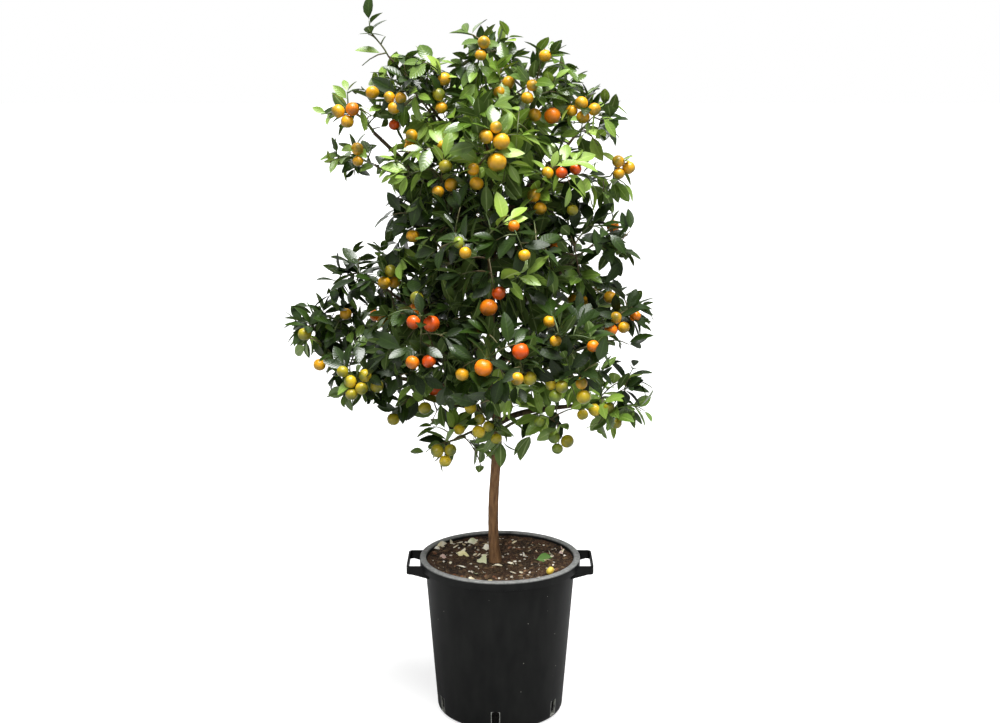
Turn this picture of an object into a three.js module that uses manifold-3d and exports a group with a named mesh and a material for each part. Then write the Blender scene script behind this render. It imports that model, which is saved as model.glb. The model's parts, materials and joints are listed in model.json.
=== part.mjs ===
// A calamondin orange tree, grown as a small standard, with its black nursery pot.
// Units are millimetres and +Z is up. The origin is the middle of the pot's flat underside,
// the front faces -Y and +X is on the right of somebody who stands in front.
//
// The tree is one trunk that runs up to the top of the crown, boughs that leave it on all sides,
// and masses of foliage. Each mass is one solid: a stem, its twigs, leaves and fruit grown together.
import * as THREE from "three";
import { ConvexHull } from "three/addons/math/ConvexHull.js";
import { mergeVertices } from "three/addons/utils/BufferGeometryUtils.js";
import Module from "manifold-3d";

const wasm = await Module();
wasm.setup();

// ---------------------------------------------------------------- driving dimensions

const GAP = 0.3; // running gap between two pieces that touch
const NEARLY_ALONG = 0.9; // share of a direction along X from which Y is squarer to it
const ROUND_FACETS = 32; // facets round the pot and the soil

const POT_HEIGHT = 366;
const POT_FOOT_RADIUS = 145;
const POT_SHOULDER_RADIUS = 171.5; // just under the lip
const POT_WALL = 4;
const POT_FLOOR = 5;
const POT_FOOT_ROUND = 14;
const POT_INSIDE_FOOT = 18; // height at which the inner wall starts
const LIP_RADIUS = 183.5;
const LIP_HEIGHT = 20;
const LIP_THICK = 3;
const LIP_BEVEL = 2;

const SLOT_COUNT = 6; // drain slots round the foot, the first near the front
const SLOT_TURN = THREE.MathUtils.degToRad(-4); // how far that one stands to the left of it
const SLOT_WIDTH = 17;
const SLOT_DEPTH = 32; // of the cut, through the wall
const SLOT_FOOT = 9;
const SLOT_TOP = 47;

const HANDLE_REACH = 212; // from the pot's axis to the handle's outer face
const HANDLE_WIDTH = 116;
const HANDLE_FOOT = 339;
const HANDLE_TOP = 359;
const HANDLE_THICK = 4;
const HANDLE_CORNER = 10;
const CORNER_STEPS = 2; // facets round each of its corners
const GUSSET_FOOT = 328;
const GUSSET_REACH = 203;

const SOIL_EDGE = 357; // height of the soil at the wall
const SOIL_SLOPE = { radius: 120, height: 353.5 };
const SOIL_MIDDLE = { radius: 34, height: 352 }; // the flat patch that the trunk stands on

const TRUNK_FOOT = SOIL_MIDDLE.height + GAP;
const TRUNK_TIP = 1335;
const TRUNK_RADIUS = 11.8; // above the root flare
const TRUNK_FORK = 640; // height of the lowest bough
const TRUNK_FORK_RADIUS = 10.8;
const TRUNK_TIP_RADIUS = 3.6;
const TRUNK_STEP = 60;
const TRUNK_SIDES = 9;
const FLARE = 4.2; // how much wider the trunk is at the soil
const FLARE_HEIGHT = 20;
const TRUNK_FOOT_X = -11;
const TRUNK_LEAN = -0.018; // sideways for each millimetre up, above the lowest bough
const WOBBLE = 4.5; // sideways
const WOBBLE_DEPTH = 3; // front to back
const WOBBLE_LENGTH = 420;

const BOUGH_SIDES = 5;
const BOUGH_STEP = 105;
const FEWEST_STRETCHES = 2; // of a bough or stem
const LEAVING_UP = 0.45; // how much a limb turns up where it leaves its parent
const LEAVING_EASE = 0.36; // share of its span over which it bends away from that
const ARRIVING_EASE = 0.34; // share over which it bends into its last direction
const ARRIVING_DOWN = 0.1; // how much a bough sinks under its mass's weight
const BOUGH_TIP_SHARE = 0.55; // a bough's tip radius as a share of its foot's
const BOUGH_ENTRY = 0.12; // how far into its mass a bough goes, as a share of the mass

const STEM_SIDES = 4;
const STEM_TIP_RADIUS = 2.4;
const STEM_SHARE = 0.92; // a stem's foot radius as a share of its bough's tip
const STEM_FOOT_RADIUS = 4.2; // of a stem that grows straight from the trunk
const STEM_JOINTS = [0.3, 0.65]; // where twigs may grow out of each of its stretches
const JOINTS_WITHIN = 0.9; // how far out in its mass, as a share of the reach
const TWIG_SIDES = 3;
const TWIG_RADIUS = 2.8;
const TWIG_TIP_RADIUS = 2.3;
const TWIG_FOOT = 13; // length of a twig before its first leaf
const SHORTEST_TWIG = 18;
const NEAR_PARENT = 0.3; // share of a twig that may lie close to the limb it comes from
const TWIG_JOINTS = [0.45, 0.8]; // where later twigs may grow out of it, as shares of its length
const STARTS_TRIED = 5; // the nearest places to start a twig from that are tried
const FEWEST_LEAVES = 3; // a twig that finds room for fewer is left out

const LEAF_LENGTH = 92; // larger than the real 65, so that fewer leaves fill the crown
const LEAF_WIDTH = 52;
const LEAF_WIDEST = 0.5; // how far out the leaf is widest, as a share of its length
const LEAF_ARCH = 0.4; // how far its sides lie below its root
const LEAF_DROOP = 7; // how far its tip does
const LEAF_SIZES = [1, 1, 1, 0.94, 0.94, 0.88, 0.82, 0.76, 0.7]; // sizes tried until one finds room
const LEAF_ROOT = 3.5; // length of twig that a leaf grows out of
const LEAF_SPACING = 32; // between the places on a twig where leaves grow
const LEAF_PLACES = 3; // at most, on one twig
const LEAF_SKYWARD = 0.9; // how much a blade faces up, next to how much it faces out of its mass
const LEAF_TURN = 0.5; // how much chance turns a blade about its own length
const SIDE_LEAF = { along: 0.4, outward: 0.2, loose: 0.45 }; // how it leaves the twig's side
const END_LEAF = { outward: 0.5, loose: 0.35 }; // how it leaves the twig's end
const TIP_LOOSE = 0.04; // the same for a leaf that has its tip on the outline
const LEAF_CLEAR = 1; // a leaf's points lie at least this far out from the twig's own face
const CROSSING = 0.5; // volume that two pieces of foliage may share before one is skipped

const FRUIT_RADIUS = 16.5;
const FRUIT_FLATTEN = 0.93;
const FRUIT_STALK = 1.2; // from a twig's surface to the fruit on it

const SPACE_MARGIN = 0.03; // clear band between neighbouring masses, as a share of their reach
const LIMB_MARGIN = 4.5; // clear band round a limb
const BLADE_MARGIN = 4.5; // further band that a leaf keeps, as its edges lie outside its lines
const OUTLINE_SLACK = 0.06; // how far a leaf may pass its mass's reach, as a share of it
const HEART = { centre: [-30, 0, 1010], reach: [230, 250, 450] }; // here the masses close up
const FARTHEST = 1.6; // how far out room for a twig is looked for, as a share of the reach
const SPRAY_DEPTH = [30, 53]; // how far a twig's end stays within its mass's space, from and to
const CANDIDATES = 24; // places tried for each twig
const TRIES = 2.2; // twigs tried for each one that is wanted

// ---------------------------------------------------------------- the crown, arm by arm

// Each row is one mass of foliage and what carries it:
//   from, leaves  the limb that it grows from, and the height at which it leaves that limb
//   thick         foot radius of its bough, or 0 where the mass's own stem meets the trunk
//   centre, reach middle of the mass, and how far it reaches along X, Y and Z
//   leaf          size of its leaves, as a share of the largest
//   sprays        how many leafy twigs fill it
//   tips          leaf tips that stand out of the outline, as offsets from the centre
//   fruit         fruit clusters: offset across, towards the front and up, and how many
const ARMS = [
  {
    name: "hanging_left", from: "trunk", leaves: 668, thick: 0,
    centre: [-120, -75, 652], reach: [72, 66, 74], leaf: 0.85, sprays: 3,
    tips: [[-28, -6, -70], [-62, 8, 20]], fruit: [[0, 55, -5, 3], [30, 30, 42, 1]],
  },
  {
    name: "low_left", from: "trunk", leaves: 690, thick: 7,
    centre: [-185, -20, 752], reach: [98, 100, 66], leaf: 0.9, sprays: 4,
    tips: [[-50, 0, -62]], fruit: [[-45, 30, -47, 1], [40, 55, 28, 1]],
  },
  {
    name: "low_centre", from: "trunk", leaves: 700, thick: 0,
    centre: [-10, -95, 728], reach: [84, 88, 66], leaf: 0.85, sprays: 3,
    tips: [], fruit: [[2, 40, -47, 1], [-26, 62, -12, 3], [-50, 40, 22, 1]],
  },
  {
    name: "low_back", from: "trunk", leaves: 662, thick: 7,
    centre: [-25, 185, 755], reach: [150, 110, 82], leaf: 1, sprays: 3,
    tips: [[-70, 40, -60], [90, 60, -40]], fruit: [[-40, -70, -30, 2], [60, -80, 10, 2]],
  },
  {
    name: "low_right_centre", from: "trunk", leaves: 652, thick: 0,
    centre: [125, -75, 735], reach: [80, 105, 92], leaf: 1, sprays: 3,
    tips: [[-10, -20, -90]], fruit: [[4, 45, -66, 3], [-40, 70, -14, 1], [50, 60, 0, 1]],
  },
  {
    name: "low_right", from: "trunk", leaves: 676, thick: 8,
    centre: [252, -10, 742], reach: [100, 115, 88], leaf: 0.9, sprays: 3,
    tips: [[92, 0, 52], [80, -10, -72], [2, -20, -92]],
    fruit: [[-28, 80, -5, 2], [2, 75, -38, 1]],
  },
  {
    name: "left_lower", from: "trunk", leaves: 724, thick: 8,
    centre: [-300, -40, 812], reach: [102, 100, 88], leaf: 0.9, sprays: 4,
    tips: [[-52, 0, -110], [-102, 10, -35]], fruit: [[-10, 70, -22, 3], [-92, 10, 15, 1]],
  },
  {
    name: "left_outer", from: "trunk", leaves: 756, thick: 8,
    centre: [-392, 10, 897], reach: [92, 95, 72], leaf: 0.9, sprays: 4,
    tips: [[-90, 0, -30], [-60, 0, 28]], fruit: [[-32, 60, 0, 1], [50, 30, 38, 1]],
  },
  {
    name: "front_left", from: "trunk", leaves: 735, thick: 7,
    centre: [-165, -205, 905], reach: [112, 105, 105], leaf: 1, sprays: 4,
    tips: [], fruit: [[5, 65, 56, 2], [3, 80, -22, 2]],
  },
  {
    name: "front", from: "trunk", leaves: 772, thick: 7,
    centre: [-5, -255, 868], reach: [105, 92, 110], leaf: 1, sprays: 3,
    tips: [], fruit: [[-26, 68, 12, 1], [46, 55, 42, 1], [50, 60, -14, 2], [-72, 40, -10, 1]],
  },
  {
    name: "front_right", from: "trunk", leaves: 732, thick: 7,
    centre: [148, -210, 880], reach: [98, 105, 108], leaf: 1, sprays: 3,
    tips: [], fruit: [[40, 66, 33, 1], [20, 62, -58, 2], [-32, 55, -60, 3]],
  },
  {
    name: "right_arm", from: "trunk", leaves: 764, thick: 8,
    centre: [258, -10, 925], reach: [86, 105, 80], leaf: 0.9, sprays: 4,
    tips: [[90, 0, 52], [80, -10, 2]], fruit: [[-5, 80, -2, 3], [32, 66, 16, 1]],
  },
  {
    name: "back_right", from: "trunk", leaves: 790, thick: 8,
    centre: [165, 205, 900], reach: [130, 125, 112], leaf: 1, sprays: 4,
    tips: [[80, 80, -30]], fruit: [[40, -90, 0, 2], [60, -40, 60, 2]],
  },
  {
    name: "back_left", from: "trunk", leaves: 806, thick: 8,
    centre: [-190, 195, 905], reach: [140, 125, 115], leaf: 1, sprays: 3,
    tips: [[-90, 70, -20]], fruit: [[-50, -80, 10, 2], [-10, -100, -40, 2]],
  },
  {
    name: "left_shoulder", from: "trunk", leaves: 822, thick: 7,
    centre: [-295, -5, 1010], reach: [100, 105, 72], leaf: 0.9, sprays: 4,
    tips: [[-96, 0, 30], [-60, 20, 48]], fruit: [[56, 62, 10, 3]],
  },
  {
    name: "mid_left", from: "trunk", leaves: 935, thick: 6,
    centre: [-175, -15, 1128], reach: [92, 115, 92], leaf: 1, sprays: 3,
    tips: [[-60, 0, 60]], fruit: [[-10, 85, -10, 1]],
  },
  {
    name: "mid_front", from: "trunk", leaves: 925, thick: 6,
    centre: [-25, -185, 1085], reach: [140, 105, 108], leaf: 1, sprays: 3,
    tips: [], fruit: [[-50, 75, 28, 2], [52, 45, 68, 1], [16, 20, -88, 2]],
  },
  {
    name: "mid_right", from: "trunk", leaves: 880, thick: 7,
    centre: [205, -10, 1085], reach: [100, 125, 92], leaf: 1, sprays: 3,
    tips: [[88, 0, 30], [84, 10, -20]], fruit: [[-82, 10, 0, 1], [50, -70, 20, 2]],
  },
  {
    name: "mid_back", from: "trunk", leaves: 950, thick: 7,
    centre: [5, 195, 1105], reach: [185, 115, 115], leaf: 1, sprays: 3,
    tips: [[-140, 50, 20], [130, 60, 10]], fruit: [[-60, -80, 20, 2], [70, -90, -10, 2]],
  },
  {
    name: "upper_mid_left", from: "trunk", leaves: 1085, thick: 0,
    centre: [-150, -85, 1255], reach: [100, 98, 78], leaf: 0.9, sprays: 3,
    tips: [[-70, 0, -50]], fruit: [[-34, 0, 60, 3], [32, 62, -32, 2]],
  },
  {
    name: "upper_mid_right", from: "trunk", leaves: 1060, thick: 0,
    centre: [122, -70, 1225], reach: [102, 105, 84], leaf: 1, sprays: 3,
    tips: [], fruit: [[-42, 62, -32, 2], [-8, 76, 30, 2]],
  },
  {
    name: "upper_front", from: "trunk", leaves: 1130, thick: 0,
    centre: [-20, -145, 1320], reach: [98, 92, 92], leaf: 1, sprays: 4,
    tips: [], fruit: [[-28, 22, -70, 2], [12, 62, -36, 1], [8, 72, 18, 3]],
  },
  {
    name: "upper_back", from: "trunk", leaves: 1150, thick: 6,
    centre: [-25, 165, 1330], reach: [170, 110, 110], leaf: 1, sprays: 3,
    tips: [[-110, 60, 20], [110, 60, 10]], fruit: [[-60, -80, 20, 2], [80, -80, 0, 2]],
  },
  {
    name: "upper_left", from: "trunk", leaves: 1035, thick: 7,
    centre: [-312, -15, 1372], reach: [82, 82, 62], leaf: 0.74, sprays: 5,
    tips: [[-84, 0, 6], [-60, 0, -50]], fruit: [[-12, 60, 0, 3]],
  },
  {
    name: "left_arm", from: "upper_left", leaves: 1195, thick: 4.5,
    centre: [-318, 10, 1272], reach: [72, 74, 52], leaf: 0.62, sprays: 4,
    tips: [[-64, 0, 2], [-6, 0, -48]], fruit: [[12, 50, 12, 2]],
  },
  {
    name: "top_left", from: "trunk", leaves: 1175, thick: 6,
    centre: [-185, -5, 1415], reach: [105, 108, 88], leaf: 0.9, sprays: 4,
    tips: [[-35, 0, 72], [50, 0, 84]],
    fruit: [[-35, 72, -16, 3], [57, 60, -16, 2]],
  },
  {
    name: "top_shoot", from: "top_left", leaves: 1300, thick: 3.5,
    centre: [-278, 5, 1540], reach: [56, 56, 92], leaf: 0.62, sprays: 4,
    tips: [[-8, 0, 90], [34, 0, 50], [-32, 0, 10]], fruit: [],
  },
  {
    name: "crown_top", from: "trunk", leaves: TRUNK_TIP, thick: 0,
    centre: [-32, 0, 1472], reach: [92, 105, 90], leaf: 0.85, sprays: 4,
    tips: [[-14, 0, 91], [50, 0, 88], [-50, 0, 66]], fruit: [[-5, 70, 35, 2], [36, 52, -45, 2]],
  },
  {
    name: "top_right", from: "trunk", leaves: 1210, thick: 6,
    centre: [90, -10, 1425], reach: [92, 105, 96], leaf: 0.85, sprays: 4,
    tips: [[-22, 0, 96]], fruit: [[-26, 76, -5, 2], [0, 62, -54, 2], [5, 42, 68, 1]],
  },
  {
    name: "upper_right", from: "trunk", leaves: 1105, thick: 7,
    centre: [190, -10, 1348], reach: [88, 105, 84], leaf: 0.9, sprays: 4,
    tips: [[-6, 0, 110], [62, 0, 64]], fruit: [[-8, 70, 33, 3], [-36, 60, 32, 1]],
  },
  {
    name: "right_tip", from: "upper_right", leaves: 1195, thick: 4.5,
    centre: [240, -5, 1232], reach: [66, 86, 78], leaf: 0.72, sprays: 4,
    tips: [[52, 0, 70], [48, 0, -62]], fruit: [[19, 56, 26, 3]],
  },
];

// ---------------------------------------------------------------- vectors and chance

const vec = (x, y, z) => new THREE.Vector3(x, y, z);
const UP = vec(0, 0, 1);
const FRONT = vec(0, -1, 0);

// The part along `v` is taken out of `of`, and what is left is made a unit vector.
function squareTo(v, of) {
  return of.clone().addScaledVector(v, -v.dot(of)).normalize();
}

// A seeded row of even random numbers from 0 to 1.
function chance(seed) {
  let state = seed;
  return () => {
    state = (state * 1664525 + 1013904223) % 4294967296;
    return state / 4294967296;
  };
}

// A random direction, even all round.
function anyDirection(random) {
  const height = 2 * random() - 1;
  const angle = 2 * Math.PI * random();
  const round = Math.sqrt(1 - height * height);
  return vec(round * Math.cos(angle), round * Math.sin(angle), height);
}

// ---------------------------------------------------------------- solids

// A closed surface, given as the corner points of its triangles, made a solid to cut and join.
function solidFrom(faces) {
  const corners = faces.flat();
  const points = [...new Set(corners)];
  const places = new Map(points.map((point, i) => [point, i]));
  const vertProperties = new Float32Array(points.flatMap((point) => point.toArray()));
  const triVerts = new Uint32Array(corners.map((point) => places.get(point)));
  return new wasm.Manifold(new wasm.Mesh({ numProp: 3, vertProperties, triVerts }));
}

// The same for one of three's own shapes, whose faces don't share their corners.
function solidOf(geometry) {
  const bare = geometry.clone();
  bare.deleteAttribute("normal");
  bare.deleteAttribute("uv");
  const merged = mergeVertices(bare, 1e-3);
  return new wasm.Manifold(
    new wasm.Mesh({
      numProp: 3,
      vertProperties: merged.attributes.position.array,
      triVerts: new Uint32Array(merged.index.array),
    }),
  );
}

// Joins the solids, fills what the joining seals and drops loose scraps: the largest body stays.
function joined(solids) {
  const bodies = wasm.Manifold.union(solids).decompose();
  return bodies.reduce((best, body) => (body.volume() > best.volume() ? body : best));
}

// The largest body that is left of a solid after a cut.
function cutBy(solid, tool) {
  return joined([solid.subtract(tool)]);
}

function meshOf(name, solid, material) {
  const { vertProperties, triVerts } = solid.getMesh();
  const geometry = new THREE.BufferGeometry()
    .setAttribute("position", new THREE.BufferAttribute(new Float32Array(vertProperties), 3))
    .setIndex(new THREE.BufferAttribute(new Uint32Array(triVerts), 1));
  geometry.computeVertexNormals();
  const mesh = new THREE.Mesh(geometry, material());
  mesh.name = name;
  return mesh;
}

// A solid of revolution about the Z axis, from [radius, height] points listed up its outside.
function turned(profile, facets) {
  const points = profile.map(([radius, height]) => new THREE.Vector2(radius, height));
  const solid = new THREE.LatheGeometry(points, facets);
  return solidOf(solid.rotateX(Math.PI / 2));
}

// A flat outline in the XY plane, raised from one height to another.
function raised(outline, foot, top) {
  const settings = { depth: top - foot, bevelEnabled: false, curveSegments: CORNER_STEPS };
  const geometry = new THREE.ExtrudeGeometry(outline, settings);
  return solidOf(geometry.translate(0, 0, foot));
}

// Corner points round each of a limb's rings, with no twist from one ring to the next. A ring has
// its middle `at` and its `radius`; a ring of no radius is a single point.
function hoopsOf(rings, sides) {
  let across = Math.abs(alongAt(rings, 0).x) < NEARLY_ALONG ? vec(1, 0, 0) : vec(0, 1, 0);
  return rings.map(({ at, radius }, i) => {
    const along = alongAt(rings, i);
    across = squareTo(along, across);
    const beside = along.clone().cross(across);
    return Array.from({ length: sides }, (_, k) => {
      const angle = (2 * Math.PI * k) / sides;
      const point = at.clone().addScaledVector(across, radius * Math.cos(angle));
      return radius > 0 ? point.addScaledVector(beside, radius * Math.sin(angle)) : at;
    });
  });
}

// The triangles of a closed tube through such hoops.
function tubeFaces(hoops) {
  const faces = [];
  for (let i = 0; i + 1 < hoops.length; i++) {
    const [low, high] = [hoops[i], hoops[i + 1]];
    low.forEach((here, k) => {
      const next = (k + 1) % low.length;
      faces.push([here, low[next], high[k]], [low[next], high[next], high[k]]);
    });
  }
  const [first, last] = [hoops[0], hoops[hoops.length - 1]];
  for (let k = 1; k + 1 < last.length; k++) {
    faces.push([first[0], first[k + 1], first[k]], [last[0], last[k], last[k + 1]]);
  }
  return faces.filter((face) => new Set(face).size === face.length);
}

function tube(rings, sides) {
  return solidFrom(tubeFaces(hoopsOf(rings, sides)));
}

// The direction in which a row of rings runs at ring i.
function alongAt(rings, i) {
  const before = rings[Math.max(i - 1, 0)].at;
  const after = rings[Math.min(i + 1, rings.length - 1)].at;
  return after.clone().sub(before).normalize();
}

// ---------------------------------------------------------------- pot, handles and soil

function wallRadius(height) {
  const share = (height - POT_FOOT_ROUND) / (POT_HEIGHT - LIP_HEIGHT - POT_FOOT_ROUND);
  return POT_FOOT_RADIUS + (POT_SHOULDER_RADIUS - POT_FOOT_RADIUS) * share;
}

const LIP_FOOT = POT_HEIGHT - LIP_HEIGHT;
const LIP_INNER = wallRadius(POT_HEIGHT) - POT_WALL; // where the lip turns into the inner wall

// Outside of the pot from the middle of its underside to the lip's top, held off by `off`.
function potOutside(off) {
  return [
    [0, -off],
    [POT_FOOT_RADIUS - POT_FOOT_ROUND, -off],
    [POT_FOOT_RADIUS + off, POT_FOOT_ROUND],
    [wallRadius(LIP_FOOT) + off, LIP_FOOT - off],
  ];
}

function pot() {
  const lip = [
    [wallRadius(POT_HEIGHT - LIP_THICK), POT_HEIGHT - LIP_THICK],
    [LIP_RADIUS - LIP_THICK, POT_HEIGHT - LIP_THICK],
    [LIP_RADIUS - LIP_THICK, LIP_FOOT],
    [LIP_RADIUS, LIP_FOOT],
    [LIP_RADIUS, POT_HEIGHT - LIP_BEVEL],
    [LIP_RADIUS - LIP_BEVEL, POT_HEIGHT],
    [LIP_INNER + LIP_BEVEL, POT_HEIGHT],
    [LIP_INNER, POT_HEIGHT - LIP_BEVEL],
  ];
  const inside = [
    [wallRadius(POT_INSIDE_FOOT) - POT_WALL, POT_INSIDE_FOOT],
    [POT_FOOT_RADIUS - POT_FOOT_ROUND - POT_WALL, POT_FLOOR],
    [0, POT_FLOOR],
  ];
  const shell = turned([...potOutside(0), ...lip, ...inside], ROUND_FACETS);
  return cutBy(shell, wasm.Manifold.union(drainSlots()));
}

function drainSlots() {
  const slots = [];
  for (let i = 0; i < SLOT_COUNT; i++) {
    const slot = new THREE.BoxGeometry(SLOT_DEPTH, SLOT_WIDTH, SLOT_TOP - SLOT_FOOT);
    slot.translate(POT_FOOT_RADIUS, 0, (SLOT_FOOT + SLOT_TOP) / 2);
    slots.push(solidOf(slot.rotateZ(SLOT_TURN - Math.PI / 2 + (2 * Math.PI * i) / SLOT_COUNT)));
  }
  return slots;
}

// The strap of the right handle seen from above: a U with round corners, open towards the pot.
function strapOutline() {
  const half = HANDLE_WIDTH / 2;
  const inner = half - HANDLE_THICK;
  const corner = HANDLE_CORNER;
  const root = POT_FOOT_RADIUS; // well inside the lip, where the pot's envelope cuts it off
  const outline = new THREE.Shape();
  outline.moveTo(root, -half);
  outline.lineTo(HANDLE_REACH - corner, -half);
  outline.absarc(HANDLE_REACH - corner, corner - half, corner, -Math.PI / 2, 0);
  outline.lineTo(HANDLE_REACH, half - corner);
  outline.absarc(HANDLE_REACH - corner, half - corner, corner, 0, Math.PI / 2);
  outline.lineTo(root, half);
  outline.lineTo(root, inner);
  const innerCorner = corner - HANDLE_THICK;
  outline.lineTo(HANDLE_REACH - corner, inner);
  outline.absarc(HANDLE_REACH - corner, half - corner, innerCorner, Math.PI / 2, 0, true);
  outline.lineTo(HANDLE_REACH - HANDLE_THICK, corner - half);
  outline.absarc(HANDLE_REACH - corner, corner - half, innerCorner, 0, -Math.PI / 2, true);
  outline.lineTo(root, -inner);
  outline.closePath();
  return outline;
}

// A three-cornered web under each leg of the strap, against the pot's wall.
function gusset(side) {
  const web = new THREE.Shape();
  web.moveTo(POT_FOOT_RADIUS, GUSSET_FOOT);
  web.lineTo(POT_SHOULDER_RADIUS, GUSSET_FOOT);
  web.lineTo(GUSSET_REACH, HANDLE_FOOT + HANDLE_THICK);
  web.lineTo(POT_FOOT_RADIUS, HANDLE_FOOT + HANDLE_THICK);
  web.closePath();
  const geometry = new THREE.ExtrudeGeometry(web, { depth: HANDLE_THICK, bevelEnabled: false });
  geometry.rotateX(Math.PI / 2); // the web now stands in the XZ plane and is thick towards -Y
  const outer = (side * (HANDLE_WIDTH - HANDLE_THICK)) / 2;
  return solidOf(geometry.translate(0, outer + HANDLE_THICK / 2, 0));
}

// The room that the pot takes up, a gap larger all round, with no hollow.
function potRoom() {
  const above = 2 * POT_HEIGHT;
  return turned(
    [...potOutside(GAP), [LIP_RADIUS + GAP, LIP_FOOT - GAP], [LIP_RADIUS + GAP, above], [0, above]],
    ROUND_FACETS,
  );
}

function handle() {
  const strap = raised(strapOutline(), HANDLE_FOOT, HANDLE_TOP);
  return cutBy(joined([strap, gusset(-1), gusset(1)]), potRoom());
}

function soil() {
  const edge = wallRadius(SOIL_EDGE) - POT_WALL - GAP;
  return turned(
    [
      [0, POT_FLOOR + GAP],
      [POT_FOOT_RADIUS - POT_FOOT_ROUND - POT_WALL - GAP, POT_FLOOR + GAP],
      [wallRadius(POT_INSIDE_FOOT) - POT_WALL - GAP, POT_INSIDE_FOOT + GAP],
      [edge, SOIL_EDGE],
      [SOIL_SLOPE.radius, SOIL_SLOPE.height],
      [SOIL_MIDDLE.radius, SOIL_MIDDLE.height],
      [0, SOIL_MIDDLE.height],
    ],
    ROUND_FACETS,
  );
}

// ---------------------------------------------------------------- trunk and boughs

const mix = THREE.MathUtils.lerp;

// Middle of the trunk at a height: a slow wobble, and above the lowest bough a slight lean.
function trunkAt(height) {
  const turn = (2 * Math.PI * (height - TRUNK_FOOT)) / WOBBLE_LENGTH;
  const x = TRUNK_FOOT_X - WOBBLE * Math.sin(turn) + TRUNK_LEAN * Math.max(height - TRUNK_FORK, 0);
  return vec(x, WOBBLE_DEPTH * (Math.cos(turn) - 1), height);
}

function trunkRadius(height) {
  const flare = FLARE * Math.exp((TRUNK_FOOT - height) / FLARE_HEIGHT);
  const bare = Math.min((height - TRUNK_FOOT) / (TRUNK_FORK - TRUNK_FOOT), 1);
  const crowned = Math.max((height - TRUNK_FORK) / (TRUNK_TIP - TRUNK_FORK), 0);
  const forkRadius = mix(TRUNK_FORK_RADIUS, TRUNK_TIP_RADIUS, crowned);
  return flare + mix(TRUNK_RADIUS, forkRadius, bare);
}

function trunkRings() {
  const heights = [-0.5, 0, 0.5, 1.5].map((share) => TRUNK_FOOT + share * FLARE_HEIGHT);
  const first = TRUNK_FOOT + 3 * FLARE_HEIGHT;
  const count = Math.round((TRUNK_TIP - first) / TRUNK_STEP);
  for (let i = 0; i <= count; i++) {
    heights.push(mix(first, TRUNK_TIP, i / count));
  }
  return heights.map((height) => ({ at: trunkAt(height), radius: trunkRadius(height) }));
}

// The ring of a limb at a height, for what grows out of it there.
function ringAt(limb, height) {
  const rings = limb.rings;
  let i = 1;
  while (i + 1 < rings.length && rings[i].at.z < height) {
    i++;
  }
  const [low, high] = [rings[i - 1], rings[i]];
  const share = THREE.MathUtils.clamp((height - low.at.z) / (high.at.z - low.at.z), 0, 1);
  return { at: low.at.clone().lerp(high.at, share), radius: mix(low.radius, high.radius, share) };
}

// How far out a point lies in an arm's mass: 0 at its centre and 1 on its outline.
function spread(arm, point) {
  const away = point.clone().sub(arm.middle);
  return Math.hypot(away.x / arm.reach[0], away.y / arm.reach[1], away.z / arm.reach[2]);
}

// Rings of a limb that leaves `start` part upwards, and comes in to `end` along `heading`.
function limbRings(start, end, heading, footRadius, tipRadius, step) {
  const span = start.distanceTo(end);
  const outward = end.clone().sub(start).normalize();
  const leaving = outward.clone().addScaledVector(UP, LEAVING_UP).normalize();
  const curve = new THREE.CubicBezierCurve3(
    start,
    start.clone().addScaledVector(leaving, LEAVING_EASE * span),
    end.clone().addScaledVector(heading, -ARRIVING_EASE * span),
    end,
  );
  const count = Math.max(FEWEST_STRETCHES, Math.round(span / step));
  const rings = [];
  for (let i = 0; i <= count; i++) {
    const share = i / count;
    rings.push({ at: curve.getPoint(share), radius: mix(footRadius, tipRadius, share) });
  }
  return rings;
}

// What a limb is checked against: its stretches as lines, each with the limb's radius there.
function stretchesOf(rings) {
  return rings.slice(1).map((ring, i) => ({
    line: new THREE.Line3(rings[i].at, ring.at),
    radius: Math.max(rings[i].radius, ring.radius),
  }));
}

const limbs = new Map();

// Keeps a limb: its rings, its solid after a cut, and the room it takes up, one gap thicker.
function addLimb(name, rings, sides, tool) {
  const thicker = rings.map(({ at, radius }) => ({ at, radius: radius + GAP }));
  limbs.set(name, { rings, solid: cutBy(tube(rings, sides), tool), room: tube(thicker, sides) });
}

function growTrunk() {
  const ground = new THREE.BoxGeometry(POT_HEIGHT, POT_HEIGHT, 2 * TRUNK_FOOT);
  addLimb("trunk", trunkRings(), TRUNK_SIDES, solidOf(ground));
}

function growBough(arm) {
  const parent = limbs.get(arm.from);
  const { at: start } = ringAt(parent, arm.leaves);
  const inward = arm.middle.clone().sub(start);
  const entry = 1 - (1 - BOUGH_ENTRY) / spread(arm, start);
  const end = start.clone().addScaledVector(inward, entry);
  const heading = inward.normalize().addScaledVector(UP, -ARRIVING_DOWN).normalize();
  const rings = limbRings(start, end, heading, arm.thick, BOUGH_TIP_SHARE * arm.thick, BOUGH_STEP);
  addLimb(arm.name, rings, BOUGH_SIDES, parent.room);
}

// ---------------------------------------------------------------- foliage

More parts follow.
